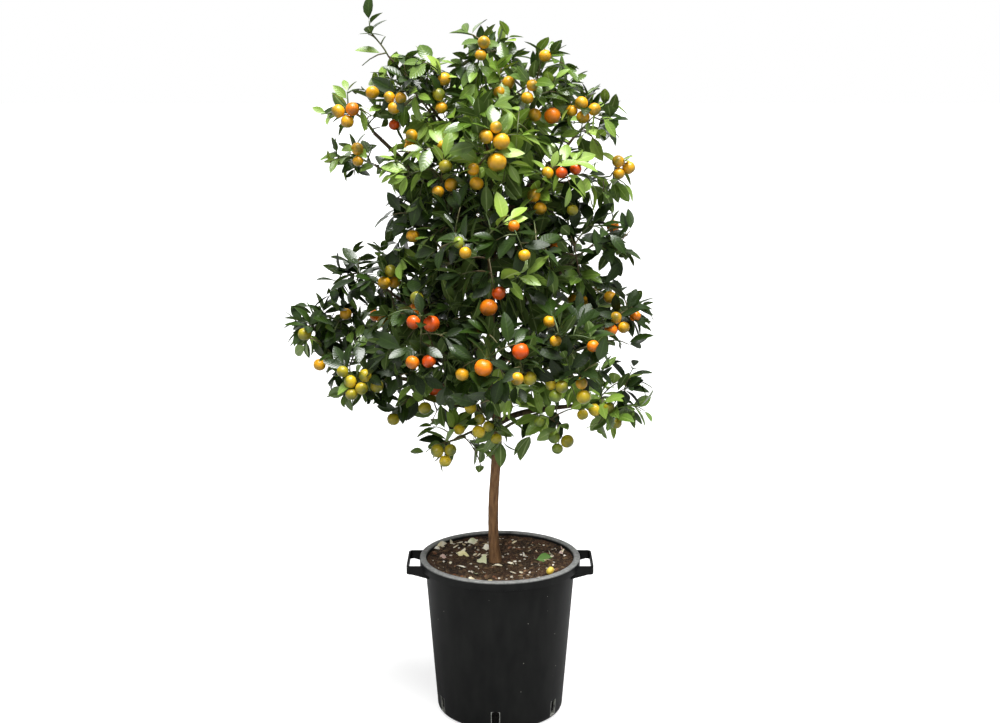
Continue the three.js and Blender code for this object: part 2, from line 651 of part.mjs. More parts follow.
// The stem that carries a mass: on from its bough's tip, or out of the trunk's side or tip.
function stemRings(arm) {
  const onTrunk = arm.thick === 0;
  const limb = limbs.get(onTrunk ? arm.from : arm.name);
  const tip = limb.rings[limb.rings.length - 1];
  const end = arm.middle.clone();
  if (onTrunk && arm.leaves < TRUNK_TIP) {
    const start = ringAt(limb, arm.leaves).at;
    const heading = end.clone().sub(start).normalize();
    return limbRings(start, end, heading, STEM_FOOT_RADIUS, STEM_TIP_RADIUS, BOUGH_STEP);
  }
  const along = alongAt(limb.rings, limb.rings.length - 1);
  const start = tip.at.clone().addScaledVector(along, GAP);
  const heading = end.clone().sub(start).normalize();
  const rings = limbRings(start, end, heading, STEM_SHARE * tip.radius, STEM_TIP_RADIUS, BOUGH_STEP);
  // the first stretch runs straight on from the limb, so that the two flat ends face each other
  rings[1].at = start.clone().addScaledVector(along, start.distanceTo(rings[1].at));
  return rings;
}

const heart = { middle: vec(...HEART.centre), reach: HEART.reach };

// Whether a point lies in the arm's own space, clear of every other arm's. In the heart of the
// crown a mass goes on until it meets the next one, and elsewhere it ends at its reach.
function inSpace(arm, point, margin) {
  const own = spread(arm, point);
  if (own > 1 + OUTLINE_SLACK && spread(heart, point) > 1) {
    return false;
  }
  return ARMS.every((other) => other === arm || own + margin < spread(other, point));
}

// Whether a line with some room round it misses every limb, and every other arm's stem.
function missesLimbs(arm, line, room) {
  return arm.avoid.every(({ line: limb, radius }) => {
    const near = radius + LIMB_MARGIN + room;
    return limb.distanceSqToLine3(line) > near * near;
  });
}

function linesThrough(points) {
  return points.slice(1).map((point, i) => new THREE.Line3(points[i], point));
}

function boxesMeet(one, other) {
  const [a, b] = [one.boundingBox(), other.boundingBox()];
  return [0, 1, 2].every((k) => a.min[k] < b.max[k] && b.min[k] < a.max[k]);
}

function crosses(one, other, most = CROSSING) {
  return boxesMeet(one, other) && one.intersect(other).volume() > most;
}

// The free points of a leaf blade: its two sides and its tip. It arches down from root to tip.
function bladePoints(root, along, facing, scale) {
  const beside = facing.clone().cross(along);
  const place = (out, side, down) => {
    const point = root.clone().addScaledVector(along, out * scale);
    return point.addScaledVector(beside, side * scale).addScaledVector(facing, -down * scale);
  };
  const widest = LEAF_WIDEST * LEAF_LENGTH;
  return [
    place(widest, LEAF_WIDTH / 2, LEAF_ARCH),
    place(widest, -LEAF_WIDTH / 2, LEAF_ARCH),
    place(LEAF_LENGTH, 0, LEAF_DROOP),
  ];
}

// The faces of the smallest convex body round some points, as the points of each face.
function hullFaces(points) {
  return new ConvexHull().setFromPoints(points).faces.map((face) => {
    const corners = [];
    let edge = face.edge;
    do {
      corners.push(edge.head().point);
      edge = edge.next;
    } while (edge !== face.edge);
    return corners;
  });
}

// What a leaf or fruit adds to a twig: the patch of the twig's surface that opens, and the faces of
// the hull of that patch and the new points, which close it again.
function sprout(patch, points) {
  const hull = hullFaces([...patch, ...points]);
  const faces = hull.filter((face) => !face.every((point) => patch.includes(point)));
  return hull.length - faces.length === patch.length - 2 ? { patch, faces, body: solidFrom(hull) } : null;
}

// Whether a blade stays in the arm's space and misses every limb.
function bladeFits(arm, root, blade, outward) {
  if (!blade.every((point) => point.clone().sub(root).dot(outward) > LEAF_CLEAR)) {
    return false;
  }
  if (!blade.every((point) => inSpace(arm, point, SPACE_MARGIN))) {
    return false;
  }
  const [left, right, tip] = blade;
  const lines = linesThrough([root, left, tip, right, root, tip, left, right]);
  return lines.every((line) => missesLimbs(arm, line, BLADE_MARGIN));
}

// The patch between two neighbouring hoops, on one side.
function sidePatch(low, high, side) {
  const next = (side + 1) % low.length;
  return [low[side], low[next], high[next], high[side]];
}

// Middle of a patch, and the direction in which it faces.
function facingOf(patch) {
  const [first, second, third] = patch;
  const at = patch.reduce((sum, point) => sum.add(point), vec(0, 0, 0)).divideScalar(patch.length);
  const outward = second.clone().sub(first).cross(third.clone().sub(first)).normalize();
  return { at, outward };
}

// Tries to grow a leaf out of a patch of a twig, in several directions and then smaller.
function leafOn(arm, patch, wanted, random, loose) {
  const { at, outward } = facingOf(patch);
  const skyward = at.clone().sub(arm.middle).normalize().addScaledVector(UP, LEAF_SKYWARD);
  for (const size of LEAF_SIZES) {
    const along = wanted.clone().addScaledVector(anyDirection(random), loose).normalize();
    const facing = squareTo(along, skyward.clone().addScaledVector(anyDirection(random), LEAF_TURN));
    const blade = bladePoints(at, along, facing, size * arm.leaf);
    const growth = bladeFits(arm, at, blade, outward) ? sprout(patch, blade) : null;
    if (growth && !arm.grown.some((other) => crosses(growth.body, other))) {
      arm.grown.push(growth.body);
      return [growth];
    }
  }
  return [];
}

// The start of a twig to `end`: the nearest of the arm's wood from which the way is clear.
function twigStart(arm, end) {
  const byDistance = arm.wood.slice().sort((a, b) => a.distanceTo(end) - b.distanceTo(end));
  const near = byDistance.slice(0, STARTS_TRIED);
  const clear = near.find((start) => {
    const line = new THREE.Line3(start, end);
    const outer = new THREE.Line3(start.clone().lerp(end, NEAR_PARENT), end);
    const middle = start.clone().lerp(end, 0.5);
    const inside = inSpace(arm, end, SPACE_MARGIN) && inSpace(arm, middle, SPACE_MARGIN);
    return line.distance() > SHORTEST_TWIG && inside && missesLimbs(arm, outer, TWIG_RADIUS);
  });
  return clear ?? null;
}

// Rings of a twig at the given lengths from its start. It starts as a point inside its parent.
function twigRings(start, end, lengths) {
  const span = start.distanceTo(end);
  const outer = lengths.map((length) => ({
    at: start.clone().lerp(end, length / span),
    radius: mix(TWIG_RADIUS, TWIG_TIP_RADIUS, length / span),
  }));
  return [{ at: start, radius: 0 }, ...outer];
}

// Where leaves grow on a twig: at its end, and before that as far as it is long enough.
function leafPlaces(span) {
  const count = Math.floor((span - TWIG_FOOT) / LEAF_SPACING) + 1;
  const places = [];
  for (let k = Math.min(Math.max(count, 1), LEAF_PLACES) - 1; k >= 0; k--) {
    places.push(span - k * LEAF_SPACING);
  }
  return places;
}

// A twig: three leaves or fruit round each of its places, and a last leaf or fruit on its end.
// Fruit grows only at the end. A twig that finds room for too little is left out.
function addTwig(arm, end, random, { heading, fruit = 0 }) {
  const start = twigStart(arm, end);
  if (!start) {
    return false;
  }
  const places = leafPlaces(start.distanceTo(end));
  const hoops = hoopsOf(
    twigRings(start, end, places.flatMap((place) => [place - LEAF_ROOT, place])),
    TWIG_SIDES,
  );
  const patchAt = (place, side) => sidePatch(hoops[1 + 2 * place], hoops[2 + 2 * place], side);
  const endPatch = hoops[hoops.length - 1];
  const last = places.length - 1;
  const along = end.clone().sub(start).normalize();
  const outward = end.clone().sub(arm.middle).normalize();
  const before = arm.grown.length;

  const endFruit = fruit === 1 || fruit > TWIG_SIDES;
  const sideFruit = endFruit ? fruit - 1 : fruit;
  const growths = endFruit ? fruitOn(arm, endPatch, random) : [];
  for (let side = 0; side < sideFruit; side++) {
    growths.push(...fruitOn(arm, patchAt(last, side), random));
  }
  const fruits = growths.length;
  if (!endFruit) {
    const onward = heading ?? along.clone().addScaledVector(outward, END_LEAF.outward).normalize();
    growths.push(...leafOn(arm, endPatch, onward, random, heading ? TIP_LOOSE : END_LEAF.loose));
  }
  for (let place = last; place >= 0; place--) {
    for (let side = place === last ? sideFruit : 0; side < TWIG_SIDES; side++) {
      const patch = patchAt(place, side);
      const away = facingOf(patch).outward.addScaledVector(along, SIDE_LEAF.along);
      away.addScaledVector(outward, SIDE_LEAF.outward).normalize();
      growths.push(...leafOn(arm, patch, away, random, SIDE_LEAF.loose));
    }
  }
  // only the hoops that something grows from stay, with the first and the last
  const used = hoops.filter((hoop, i) => {
    const isEnd = i === 0 || hoop === endPatch;
    return isEnd || growths.some(({ patch }) => hoop.some((point) => patch.includes(point)));
  });
  const twigFaces = tubeFaces(used);
  const twig = solidFrom(twigFaces);
  const tooBare = fruits === 0 && growths.length < FEWEST_LEAVES && !heading;
  if (tooBare || [...limbs.values()].some(({ room }) => crosses(twig, room, 0))) {
    arm.grown.length = before;
    return false;
  }
  const closed = twigFaces.filter(
    (face) => !growths.some(({ patch }) => face.every((point) => patch.includes(point))),
  );
  arm.pieces.push(solidFrom([...closed, ...growths.flatMap(({ faces }) => faces)]));
  arm.grown.push(twig);
  arm.wood.push(...TWIG_JOINTS.map((share) => start.clone().lerp(end, share)));
  return true;
}

// A leafy twig whose last leaf has its tip at a given place of the outline.
function addTipTwig(arm, tip, random) {
  const heading = tip.clone().sub(arm.middle).normalize();
  addTwig(arm, tip.clone().addScaledVector(heading, -LEAF_LENGTH * arm.leaf), random, { heading });
}

// The corners of a fruit: a small orange, slightly flattened from stalk to eye.
function fruitPoints(middle, random) {
  const ball = new THREE.IcosahedronGeometry(FRUIT_RADIUS, 0);
  ball.scale(1, 1, FRUIT_FLATTEN);
  ball.rotateZ(Math.PI * random());
  ball.translate(middle.x, middle.y, middle.z);
  ball.deleteAttribute("normal");
  ball.deleteAttribute("uv");
  const { position } = mergeVertices(ball, 1e-3).attributes;
  return Array.from({ length: position.count }, (_, i) => vec(0, 0, 0).fromBufferAttribute(position, i));
}

// Grows a fruit out of a patch of a twig, unless it would leave the arm's space or touch something.
function fruitOn(arm, patch, random) {
  const { at, outward } = facingOf(patch);
  const middle = at.addScaledVector(outward, FRUIT_RADIUS + FRUIT_STALK);
  const points = fruitPoints(middle, random);
  const core = new THREE.Line3(middle, middle.clone().addScaledVector(UP, 1));
  const allIn = points.every((point) => inSpace(arm, point, SPACE_MARGIN));
  const growth = allIn && missesLimbs(arm, core, FRUIT_RADIUS) ? sprout(patch, points) : null;
  if (!growth || arm.grown.some((other) => crosses(growth.body, other))) {
    return [];
  }
  arm.grown.push(growth.body);
  return [growth];
}

// How far the arm's own space goes from its middle in a direction.
function roomTowards(arm, way) {
  const outline = vec(way.x * arm.reach[0], way.y * arm.reach[1], way.z * arm.reach[2]);
  let share = FARTHEST;
  while (share > 0 && !inSpace(arm, arm.middle.clone().addScaledVector(outline, share), SPACE_MARGIN)) {
    share -= SPACE_MARGIN;
  }
  return outline.multiplyScalar(Math.max(share, 0));
}

// The point for the end of the next twig: of several chances, the one farthest from those taken.
function nextTwigEnd(arm, taken, random) {
  let best = null;
  let bestRoom = -1;
  for (let k = 0; k < CANDIDATES; k++) {
    const edge = roomTowards(arm, anyDirection(random));
    const length = edge.length() - arm.leaf * mix(...SPRAY_DEPTH, random());
    if (length < SHORTEST_TWIG) {
      continue;
    }
    const point = arm.middle.clone().addScaledVector(edge.normalize(), length);
    const room = Math.min(...taken.map((other) => other.distanceTo(point)), length);
    if (room > bestRoom) {
      best = point;
      bestRoom = room;
    }
  }
  return best;
}

function growFoliage(arm, seed) {
  const random = chance(seed);
  const rings = arm.stem;
  let stem = tube(rings, STEM_SIDES);
  if (arm.thick === 0 && arm.leaves < TRUNK_TIP) {
    stem = cutBy(stem, limbs.get("trunk").room);
  }
  arm.pieces = [stem]; // what is fused into the mass
  arm.grown = [stem]; // what a new leaf or fruit has to miss
  const joints = rings.slice(1).flatMap((ring, i) =>
    STEM_JOINTS.map((share) => rings[i].at.clone().lerp(ring.at, share)),
  );
  arm.wood = joints.filter((point) => spread(arm, point) < JOINTS_WITHIN);
  arm.tips.forEach((tip) => addTipTwig(arm, arm.middle.clone().add(vec(...tip)), random));
  const taken = [];
  arm.fruit.forEach(([across, forward, up, fruit]) => {
    const end = arm.middle.clone().add(vec(across, -forward, up));
    addTwig(arm, end, random, { fruit });
    taken.push(end);
  });
  let found = 0;
  for (let k = 0; k < TRIES * arm.sprays && found < arm.sprays; k++) {
    const end = nextTwigEnd(arm, taken, random);
    if (end) {
      taken.push(end);
      found += addTwig(arm, end, random, {}) ? 1 : 0;
    }
  }
  return joined(arm.pieces);
}

// ---------------------------------------------------------------- materials

function finish(color, roughness) {
  return () => new THREE.MeshStandardMaterial({ color, roughness, metalness: 0 });
}

const blackPlastic = finish("#232625", 0.6);
const darkSoil = finish("#33271c", 0.95);
const trunkBark = finish("#684c31", 0.85);
const boughBark = finish("#4f3c29", 0.85);
const foliage = finish("#3c6a2a", 0.5);

// ---------------------------------------------------------------- the whole plant

const plant = new THREE.Group();
plant.name = "calamondin_in_pot";

plant.add(meshOf("pot", pot(), blackPlastic));
const handleLeft = meshOf("handle_left", handle(), blackPlastic);
handleLeft.rotation.z = Math.PI;
plant.add(handleLeft);
plant.add(meshOf("handle_right", handle(), blackPlastic));
plant.add(meshOf("soil", soil(), darkSoil));

for (const arm of ARMS) {
  arm.middle = vec(...arm.centre);
}
growTrunk();
ARMS.filter((arm) => arm.thick > 0 && arm.from === "trunk").forEach(growBough);
ARMS.filter((arm) => arm.thick > 0 && arm.from !== "trunk").forEach(growBough);
for (const [name, limb] of limbs) {
  const isTrunk = name === "trunk";
  plant.add(meshOf(isTrunk ? name : `bough_${name}`, limb.solid, isTrunk ? trunkBark : boughBark));
}

for (const arm of ARMS) {
  arm.stem = stemRings(arm);
}
const woody = [...limbs.values()].flatMap((limb) => stretchesOf(limb.rings));
ARMS.forEach((arm, i) => {
  const otherStems = ARMS.filter((other) => other !== arm).flatMap((other) => stretchesOf(other.stem));
  arm.avoid = [...woody, ...otherStems];
  plant.add(meshOf(`foliage_${arm.name}`, growFoliage(arm, 101 + 37 * i), foliage));
});

export default plant;
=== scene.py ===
"""Looks of a calamondin orange tree in its black nursery pot, built round its packed model.

Sizes are in metres unless a comment says otherwise. +Z is up, the front faces -Y, and the origin
is the middle of the pot's flat underside. The limbs and the masses of foliage grow by the same
rule and from the same sizes as the packed solids, and are carried on to finer twigs.
"""

import json
import math
from collections import namedtuple
from contextlib import contextmanager

import bmesh
import bpy
from bpy.props import FloatProperty, FloatVectorProperty, IntProperty, PointerProperty
from mathutils import Matrix, Vector, kdtree, noise

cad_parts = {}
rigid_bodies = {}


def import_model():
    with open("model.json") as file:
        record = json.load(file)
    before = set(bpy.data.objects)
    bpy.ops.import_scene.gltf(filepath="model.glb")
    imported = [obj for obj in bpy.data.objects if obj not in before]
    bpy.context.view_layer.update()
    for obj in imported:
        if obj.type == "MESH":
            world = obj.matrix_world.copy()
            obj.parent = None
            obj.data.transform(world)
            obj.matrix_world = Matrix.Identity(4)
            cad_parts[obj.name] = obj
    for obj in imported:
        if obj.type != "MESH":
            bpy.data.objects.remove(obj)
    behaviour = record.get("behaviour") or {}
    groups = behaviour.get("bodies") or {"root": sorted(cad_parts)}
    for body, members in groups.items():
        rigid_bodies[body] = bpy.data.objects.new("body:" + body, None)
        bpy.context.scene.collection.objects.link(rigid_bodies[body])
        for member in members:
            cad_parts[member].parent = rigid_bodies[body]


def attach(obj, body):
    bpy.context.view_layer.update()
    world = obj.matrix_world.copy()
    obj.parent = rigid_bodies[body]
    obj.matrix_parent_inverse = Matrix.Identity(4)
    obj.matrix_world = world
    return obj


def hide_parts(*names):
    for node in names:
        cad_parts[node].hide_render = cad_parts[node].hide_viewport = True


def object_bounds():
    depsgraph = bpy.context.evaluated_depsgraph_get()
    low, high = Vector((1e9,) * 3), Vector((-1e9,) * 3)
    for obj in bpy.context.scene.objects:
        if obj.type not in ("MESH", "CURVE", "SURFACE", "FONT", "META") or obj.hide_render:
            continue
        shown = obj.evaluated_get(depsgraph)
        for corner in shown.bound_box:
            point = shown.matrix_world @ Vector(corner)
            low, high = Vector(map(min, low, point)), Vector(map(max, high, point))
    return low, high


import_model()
CAD_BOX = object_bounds()

bl_info = {
    "name": "Calamondin in a nursery pot",
    "version": (1, 0, 0),
    "blender": (4, 5, 0),
    "location": "3D View > Sidebar > Calamondin",
    "description": "Dresses the packed calamondin tree with bark, leaves, fruit, pot and soil",
    "category": "Object",
}

BODY = "root"
MM = 0.001
TAU = 2 * math.pi
GOLDEN_ANGLE = math.radians(137.5)
UP = Vector((0, 0, 1))
FRONT = Vector((0, -1, 0))
NO_LENGTH = 1e-6  # a vector shorter than this has no direction

# ---------------------------------------------------------------- sizes of the pot and the soil

POT_HEIGHT = 0.366
POT_FOOT_RADIUS = 0.145
POT_SHOULDER_RADIUS = 0.1715
POT_WALL = 0.004
POT_FLOOR = 0.005
POT_FOOT_ROUND = 0.014
POT_INSIDE_FOOT = 0.018  # height at which the inner wall starts
LIP_RADIUS = 0.1835
LIP_HEIGHT = 0.020
LIP_THICK = 0.003
LIP_ROUND = 0.0024
LIP_FOOT = POT_HEIGHT - LIP_HEIGHT
LIP_RUB_AND_HIGHLIGHT_FOOT = POT_HEIGHT - 0.0045  # the lip is rubbed and painted with a highlight, more and more from here
LIP_RUB_AND_HIGHLIGHT_TOP = POT_HEIGHT - 0.0008  # up to here
POT_SEGMENTS = 144

SLOT_COUNT = 6
SLOT_TURN = math.radians(-4)  # how far the first one stands to the left of the front
SLOT_WIDTH = 0.017
SLOT_CORNER = 0.004
SLOT_DEPTH = 0.032  # of the cut, through the wall
SLOT_FOOT = 0.009
SLOT_TOP = 0.047
SLOT_MIDDLE = (SLOT_TOP + SLOT_FOOT) / 2
SLOT_RUB = 0.0025  # width of the pale stretch beside a slot
SLOT_RUB_FULL = 0.001  # within this it is palest

HANDLE_REACH = 0.212
HANDLE_WIDTH = 0.116
HANDLE_FOOT = 0.339
HANDLE_TOP = 0.359
HANDLE_THICK = 0.004
HANDLE_CORNER = 0.010
HANDLE_ROOT = 0.1655  # inside the hollow of the lip
HANDLE_EDGE_ROUND = 0.0007
HANDLE_SHARPEST = 0.9  # edges that bend by more radians than this are rounded
GUSSET_FOOT = 0.328
GUSSET_TOP = HANDLE_FOOT + 0.001  # inside the strap
GUSSET_REACH = 0.203
GUSSET_ROOT = 0.1600

SOIL_EDGE = 0.357
SOIL_MIDDLE = 0.352
SOIL_RINGS = 44
SOIL_AROUND = 120
COARSE_LUMPS = 28  # in a metre of soil
FINE_LUMPS = 75
FINE_LUMP_SHARE = 0.7  # their height, next to the coarse ones'
FINE_LUMP_LAYER = 3  # keeps their pattern apart from the coarse ones'
SMOOTH_ROUND_TRUNK = 0.012  # the soil is smooth within this distance of the trunk's middle,
LUMPS_RISE_OVER = 0.02  # and as lumpy as elsewhere this much farther out
SOIL_PAINTED_SHADE_TOP = 0.15  # up to this height the soil is painted almost black as shade,
SOIL_PAINTED_SHADE_END = 0.30  # and from this height it has its own colour
GAP = 0.0003

# ---------------------------------------------------------------- sizes of the limbs

TRUNK_FOOT = 0.3523
TRUNK_TIP = 1.335
TRUNK_RADIUS = 0.0118
TRUNK_FORK = 0.640
TRUNK_FORK_RADIUS = 0.0108
TRUNK_TIP_RADIUS = 0.0036
FLARE = 0.0042
FLARE_HEIGHT = 0.020
TRUNK_FOOT_X = -0.011
TRUNK_LEAN = -0.018  # along X, for each metre above the fork
WOBBLE = 0.0045  # how far the trunk strays to each side
WOBBLE_DEPTH = 0.003  # half of how far it strays towards the front
WOBBLE_LENGTH = 0.420  # height of one whole wobble

LIMB_STEP = 0.007  # distance between the rings of a limb
LEAVING_UP = 0.45  # how much a limb leaves upwards, next to how much it leaves along its way
LEAVING_EASE = 0.36  # distance to its curve's handles, as a share of the span from end to end
ARRIVING_EASE = 0.34
ARRIVING_DOWN = 0.1
BOUGH_TIP_SHARE = 0.55  # radius of a bough's tip as a share of its foot's
BOUGH_ENTRY = 0.12  # how deep a bough reaches into its mass, as a share of the mass's reach
STEM_TIP_RADIUS = 0.0018
STEM_SHARE = 0.92  # radius of a stem's foot as a share of its bough's tip
STEM_FOOT_RADIUS = 0.0042  # where the stem grows out of the trunk's side

OUTLINE_SLACK = 0.06  # how far out of its mass a twig may end, as a share of the mass's reach
SPACE_MARGIN = 0.03  # how much deeper it then lies in its own mass than in any other
HEART = ((-30, 0, 1010), (230, 250, 450))  # mm: here the masses close up

# ---------------------------------------------------------------- the crown, arm by arm

# One row for each mass of foliage, in mm: its name, the limb it grows from and the height at which
# it leaves that limb, its bough's foot radius (0 where its stem meets the trunk), its middle, its
# reach along X, Y and Z, the size of its leaves, how densely its shoots stand, the leaf tips that
# stand out of the outline, and its fruit. A cluster of fruit is an offset across, towards the
# front and up, and one letter a fruit: r red-orange, o orange, y yellow-orange, l lemon yellow,
# v olive, g green, and a capital for a large one.
ARMS = [
    ("hanging_left", "trunk", 668, 0, (-120, -75, 652), (72, 66, 74), 0.85, 0.5,
     [(-28, -6, -70), (-62, 8, 20)],
     [(0, 55, -5, "vlv"), (30, 30, 42, "l")]),
    ("low_left", "trunk", 690, 7, (-185, -20, 752), (98, 100, 66), 0.9, 0.38,
     [(-50, 0, -62)],
     [(-45, 30, -47, "v"), (20, 78, -10, "v"), (40, 55, 28, "R")]),
    ("low_centre", "trunk", 700, 0, (-10, -95, 728), (84, 88, 66), 0.85, 0.26,
     [],
     [(2, 40, -47, "v"), (-26, 62, -12, "lvv"), (-50, 40, 22, "l")]),
    ("low_back", "trunk", 662, 7, (-25, 185, 755), (150, 110, 82), 1, 0.38,
     [(-70, 40, -60), (90, 60, -40)], [(-40, -70, -30, "vy"), (60, -80, 10, "oy")]),
    ("low_right_centre", "trunk", 652, 0, (125, -75, 735), (80, 105, 92), 1, 0.42,
     [(-10, -20, -90)],
     [(4, 45, -66, "vgg"), (-40, 70, -14, "g"), (50, 60, 0, "l")]),
    ("low_right", "trunk", 676, 8, (252, -10, 742), (100, 115, 88), 0.9, 0.65,
     [(92, 0, 52), (80, -10, -72), (2, -20, -92)],
     [(-28, 80, -5, "vl"), (2, 75, -38, "v")]),
    ("left_lower", "trunk", 724, 8, (-300, -40, 812), (102, 100, 88), 0.9, 1.15,
     [(-52, 0, -110), (-102, 10, -35)],
     [(-14, 72, -24, "lvl"), (18, 66, -12, "vl"), (-38, 66, 10, "v"), (-92, 10, 15, "y")]),
    ("left_outer", "trunk", 756, 8, (-392, 10, 897), (92, 95, 72), 0.9, 1.2,
     [(-90, 0, -30), (-60, 0, 28)],
     [(-32, 60, 0, "v"), (50, 30, 38, "y")]),
    ("front_left", "trunk", 735, 7, (-165, -205, 905), (112, 105, 105), 1, 0.95,
     [],
     [(5, 65, 56, "Rr"), (3, 80, -22, "or"), (-10, 5, 84, "ov")]),
    ("front", "trunk", 772, 7, (-5, -255, 868), (105, 92, 110), 1, 0.82,
     [],
     [(-26, 68, 12, "O"), (46, 55, 42, "R"), (50, 60, -14, "vy"), (-72, 40, -10, "y")]),
    ("front_right", "trunk", 732, 7, (148, -210, 880), (98, 105, 108), 1, 0.75,
     [],
     [(-32, 66, 44, "y"), (-40, 20, 76, "y"), (40, 66, 33, "o"), (20, 62, -58, "ly"),
      (-32, 55, -60, "glv")]),
    ("right_arm", "trunk", 764, 8, (258, -10, 925), (86, 105, 80), 0.9, 0.62,
     [(90, 0, 52), (80, -10, 2)],
     [(-5, 80, -2, "yoy"), (32, 66, 16, "o"), (-17, 45, 54, "y")]),
    ("back_right", "trunk", 790, 8, (165, 205, 900), (130, 125, 112), 1, 0.75,
     [(80, 80, -30)],
     [(40, -90, 0, "yo"), (60, -40, 60, "yv"), (18, 90, 44, "yy")]),
    ("back_left", "trunk", 806, 8, (-190, 195, 905), (140, 125, 115), 1, 0.8,
     [(-90, 70, -20)],
     [(-50, -80, 10, "ov"), (-10, -100, -40, "ry"), (-84, 75, -4, "oy")]),
    ("left_shoulder", "trunk", 822, 7, (-295, -5, 1010), (100, 105, 72), 0.9, 0.95,
     [(-96, 0, 30), (-60, 20, 48)],
     [(56, 62, 10, "yyv")]),
    ("mid_left", "trunk", 935, 6, (-175, -15, 1128), (92, 115, 92), 1, 1,
     [(-60, 0, 60)],
     [(-10, 85, -10, "y")]),
    ("mid_front", "trunk", 925, 6, (-25, -185, 1085), (140, 105, 108), 1, 0.95,
     [],
     [(-50, 75, 28, "yg"), (52, 45, 68, "o"), (70, 70, 12, "y"), (12, 55, -80, "Or")]),
    ("mid_right", "trunk", 880, 7, (205, -10, 1085), (100, 125, 92), 1, 0.68,
     [(88, 0, 30), (84, 10, -20)],
     [(-82, 10, 0, "o"), (50, -70, 20, "yo")]),
    ("mid_back", "trunk", 950, 7, (5, 195, 1105), (185, 115, 115), 1, 0.85,
     [(-140, 50, 20), (130, 60, 10)], [(-60, -80, 20, "yy"), (70, -90, -10, "ov")]),
    ("upper_mid_left", "trunk", 1085, 0, (-150, -85, 1255), (100, 98, 78), 0.9, 1.05,
     [(-70, 0, -50)],
     [(-34, 0, 60, "yyy"), (32, 62, -32, "yy"), (34, 66, 14, "v"), (28, 36, 54, "y")]),
    ("upper_mid_right", "trunk", 1060, 0, (122, -70, 1225), (102, 105, 84), 1, 0.85,
     [],
     [(-42, 62, -32, "yy"), (-8, 76, 30, "ry"), (28, 55, -50, "v"), (36, 60, 36, "r")]),
    ("upper_front", "trunk", 1130, 0, (-20, -145, 1320), (98, 92, 92), 1, 0.9,
     [],
     [(-28, 22, -70, "yy"), (12, 62, -36, "Y"), (8, 72, 18, "Yyy")]),
    ("upper_back", "trunk", 1150, 6, (-25, 165, 1330), (170, 110, 110), 1, 0.75,
     [(-110, 60, 20), (110, 60, 10)], [(-60, -80, 20, "vy"), (80, -80, 0, "yo")]),
    ("upper_left", "trunk", 1035, 7, (-312, -15, 1372), (82, 82, 62), 0.74, 0.6,
     [(-84, 0, 6), (-60, 0, -50)],
     [(-12, 60, 0, "yyo")]),
    ("left_arm", "upper_left", 1195, 4.5, (-318, 10, 1272), (72, 74, 52), 0.62, 0.9,
     [(-64, 0, 2), (-6, 0, -48)],
     [(12, 50, 12, "yy")]),
    ("top_left", "trunk", 1175, 6, (-185, -5, 1415), (105, 108, 88), 0.9, 1,
     [(-35, 0, 72), (50, 0, 84)],
     [(-35, 72, -16, "yyy"), (57, 60, -16, "yv"), (62, 48, 30, "y"), (-82, 30, 2, "y"),
      (-42, 14, -68, "r")]),
    ("top_shoot", "top_left", 1300, 3.5, (-278, 5, 1540), (56, 56, 92), 0.62, 0.12,
     [(-8, 0, 90), (34, 0, 50), (-32, 0, 10)], []),
    ("crown_top", "trunk", 1335, 0, (-32, 0, 1472), (92, 105, 90), 0.85, 0.78,
     [(-14, 0, 91), (50, 0, 88), (-50, 0, 66)],
     [(-5, 70, 35, "yy"), (36, 52, -45, "yy")]),
    ("top_right", "trunk", 1210, 6, (90, -10, 1425), (92, 105, 96), 0.85, 0.74,
     [(-22, 0, 96)],
     [(-26, 76, -5, "yy"), (0, 62, -54, "Oy"), (5, 42, 68, "y")]),
    ("upper_right", "trunk", 1105, 7, (190, -10, 1348), (88, 105, 84), 0.9, 0.68,
     [(-6, 0, 110), (62, 0, 64)],
     [(-8, 70, 33, "yyy"), (-36, 60, 32, "y")]),
    ("right_tip", "upper_right", 1195, 4.5, (240, -5, 1232), (66, 86, 78), 0.72, 0.45,
     [(52, 0, 70), (48, 0, -62)],
     [(19, 56, 26, "yyy")]),
]
LOWEST_TOP_TIER = 1.20  # masses with their middle above this are the top tier
LOWEST_MID_TIER = 0.88

Ring = namedtuple("Ring", "at radius")


def tier_name(height):
    if height > LOWEST_TOP_TIER:
        return "top"
    return "middle" if height > LOWEST_MID_TIER else "low"


class Arm:
    """One mass of foliage, with what carries it and what grows in it."""

    def __init__(self, row):
        (self.name, self.parent, leaves, thick, centre, reach, self.leaf, self.fill, tips,
         fruit) = row
        self.leaves = MM * leaves
        self.thick = MM * thick
        self.middle = MM * Vector(centre)
        self.reach = MM * Vector(reach)
        self.tips = [self.middle + MM * Vector(tip) for tip in tips]
        self.fruit = [
            (self.middle + MM * Vector((across, -forward, up)), ripeness)
            for across, forward, up, ripeness in fruit
        ]


arms = [Arm(row) for row in ARMS]

# ---------------------------------------------------------------- vectors and chance


def chance(seed):
    """A seeded row of even random numbers from 0 to 1, the same as the packed solids use."""
    state = seed

    def draw():
        nonlocal state
        state = (state * 1664525 + 1013904223) % 4294967296
        return state / 4294967296

    return draw


def mix(low, high, share):
    return low + (high - low) * share


def between(value, low, high):
    return max(low, min(high, value))


def any_direction(random):
    """A random direction, even all round."""
    height = 2 * random() - 1
    angle = TAU * random()
    across = math.sqrt(1 - height * height)
    return Vector((across * math.cos(angle), across * math.sin(angle), height))


def square_to(along, wanted):
    """What is left of `wanted` square to `along`, as a unit vector."""
    left = wanted - along * wanted.dot(along)
    if left.length < NO_LENGTH:
        left = along.orthogonal()
    return left.normalized()


def round_about(across, beside, angle):
    """The direction at an angle in the plane of two unit vectors that are square to each other."""
    return across * math.cos(angle) + beside * math.sin(angle)


def bezier(start, leaving, arriving, end, share):
    """A point of a cubic curve."""
    left = 1 - share
    return (start * left ** 3 + leaving * (3 * left * left * share)
            + arriving * (3 * left * share * share) + end * share ** 3)


# ---------------------------------------------------------------- limbs


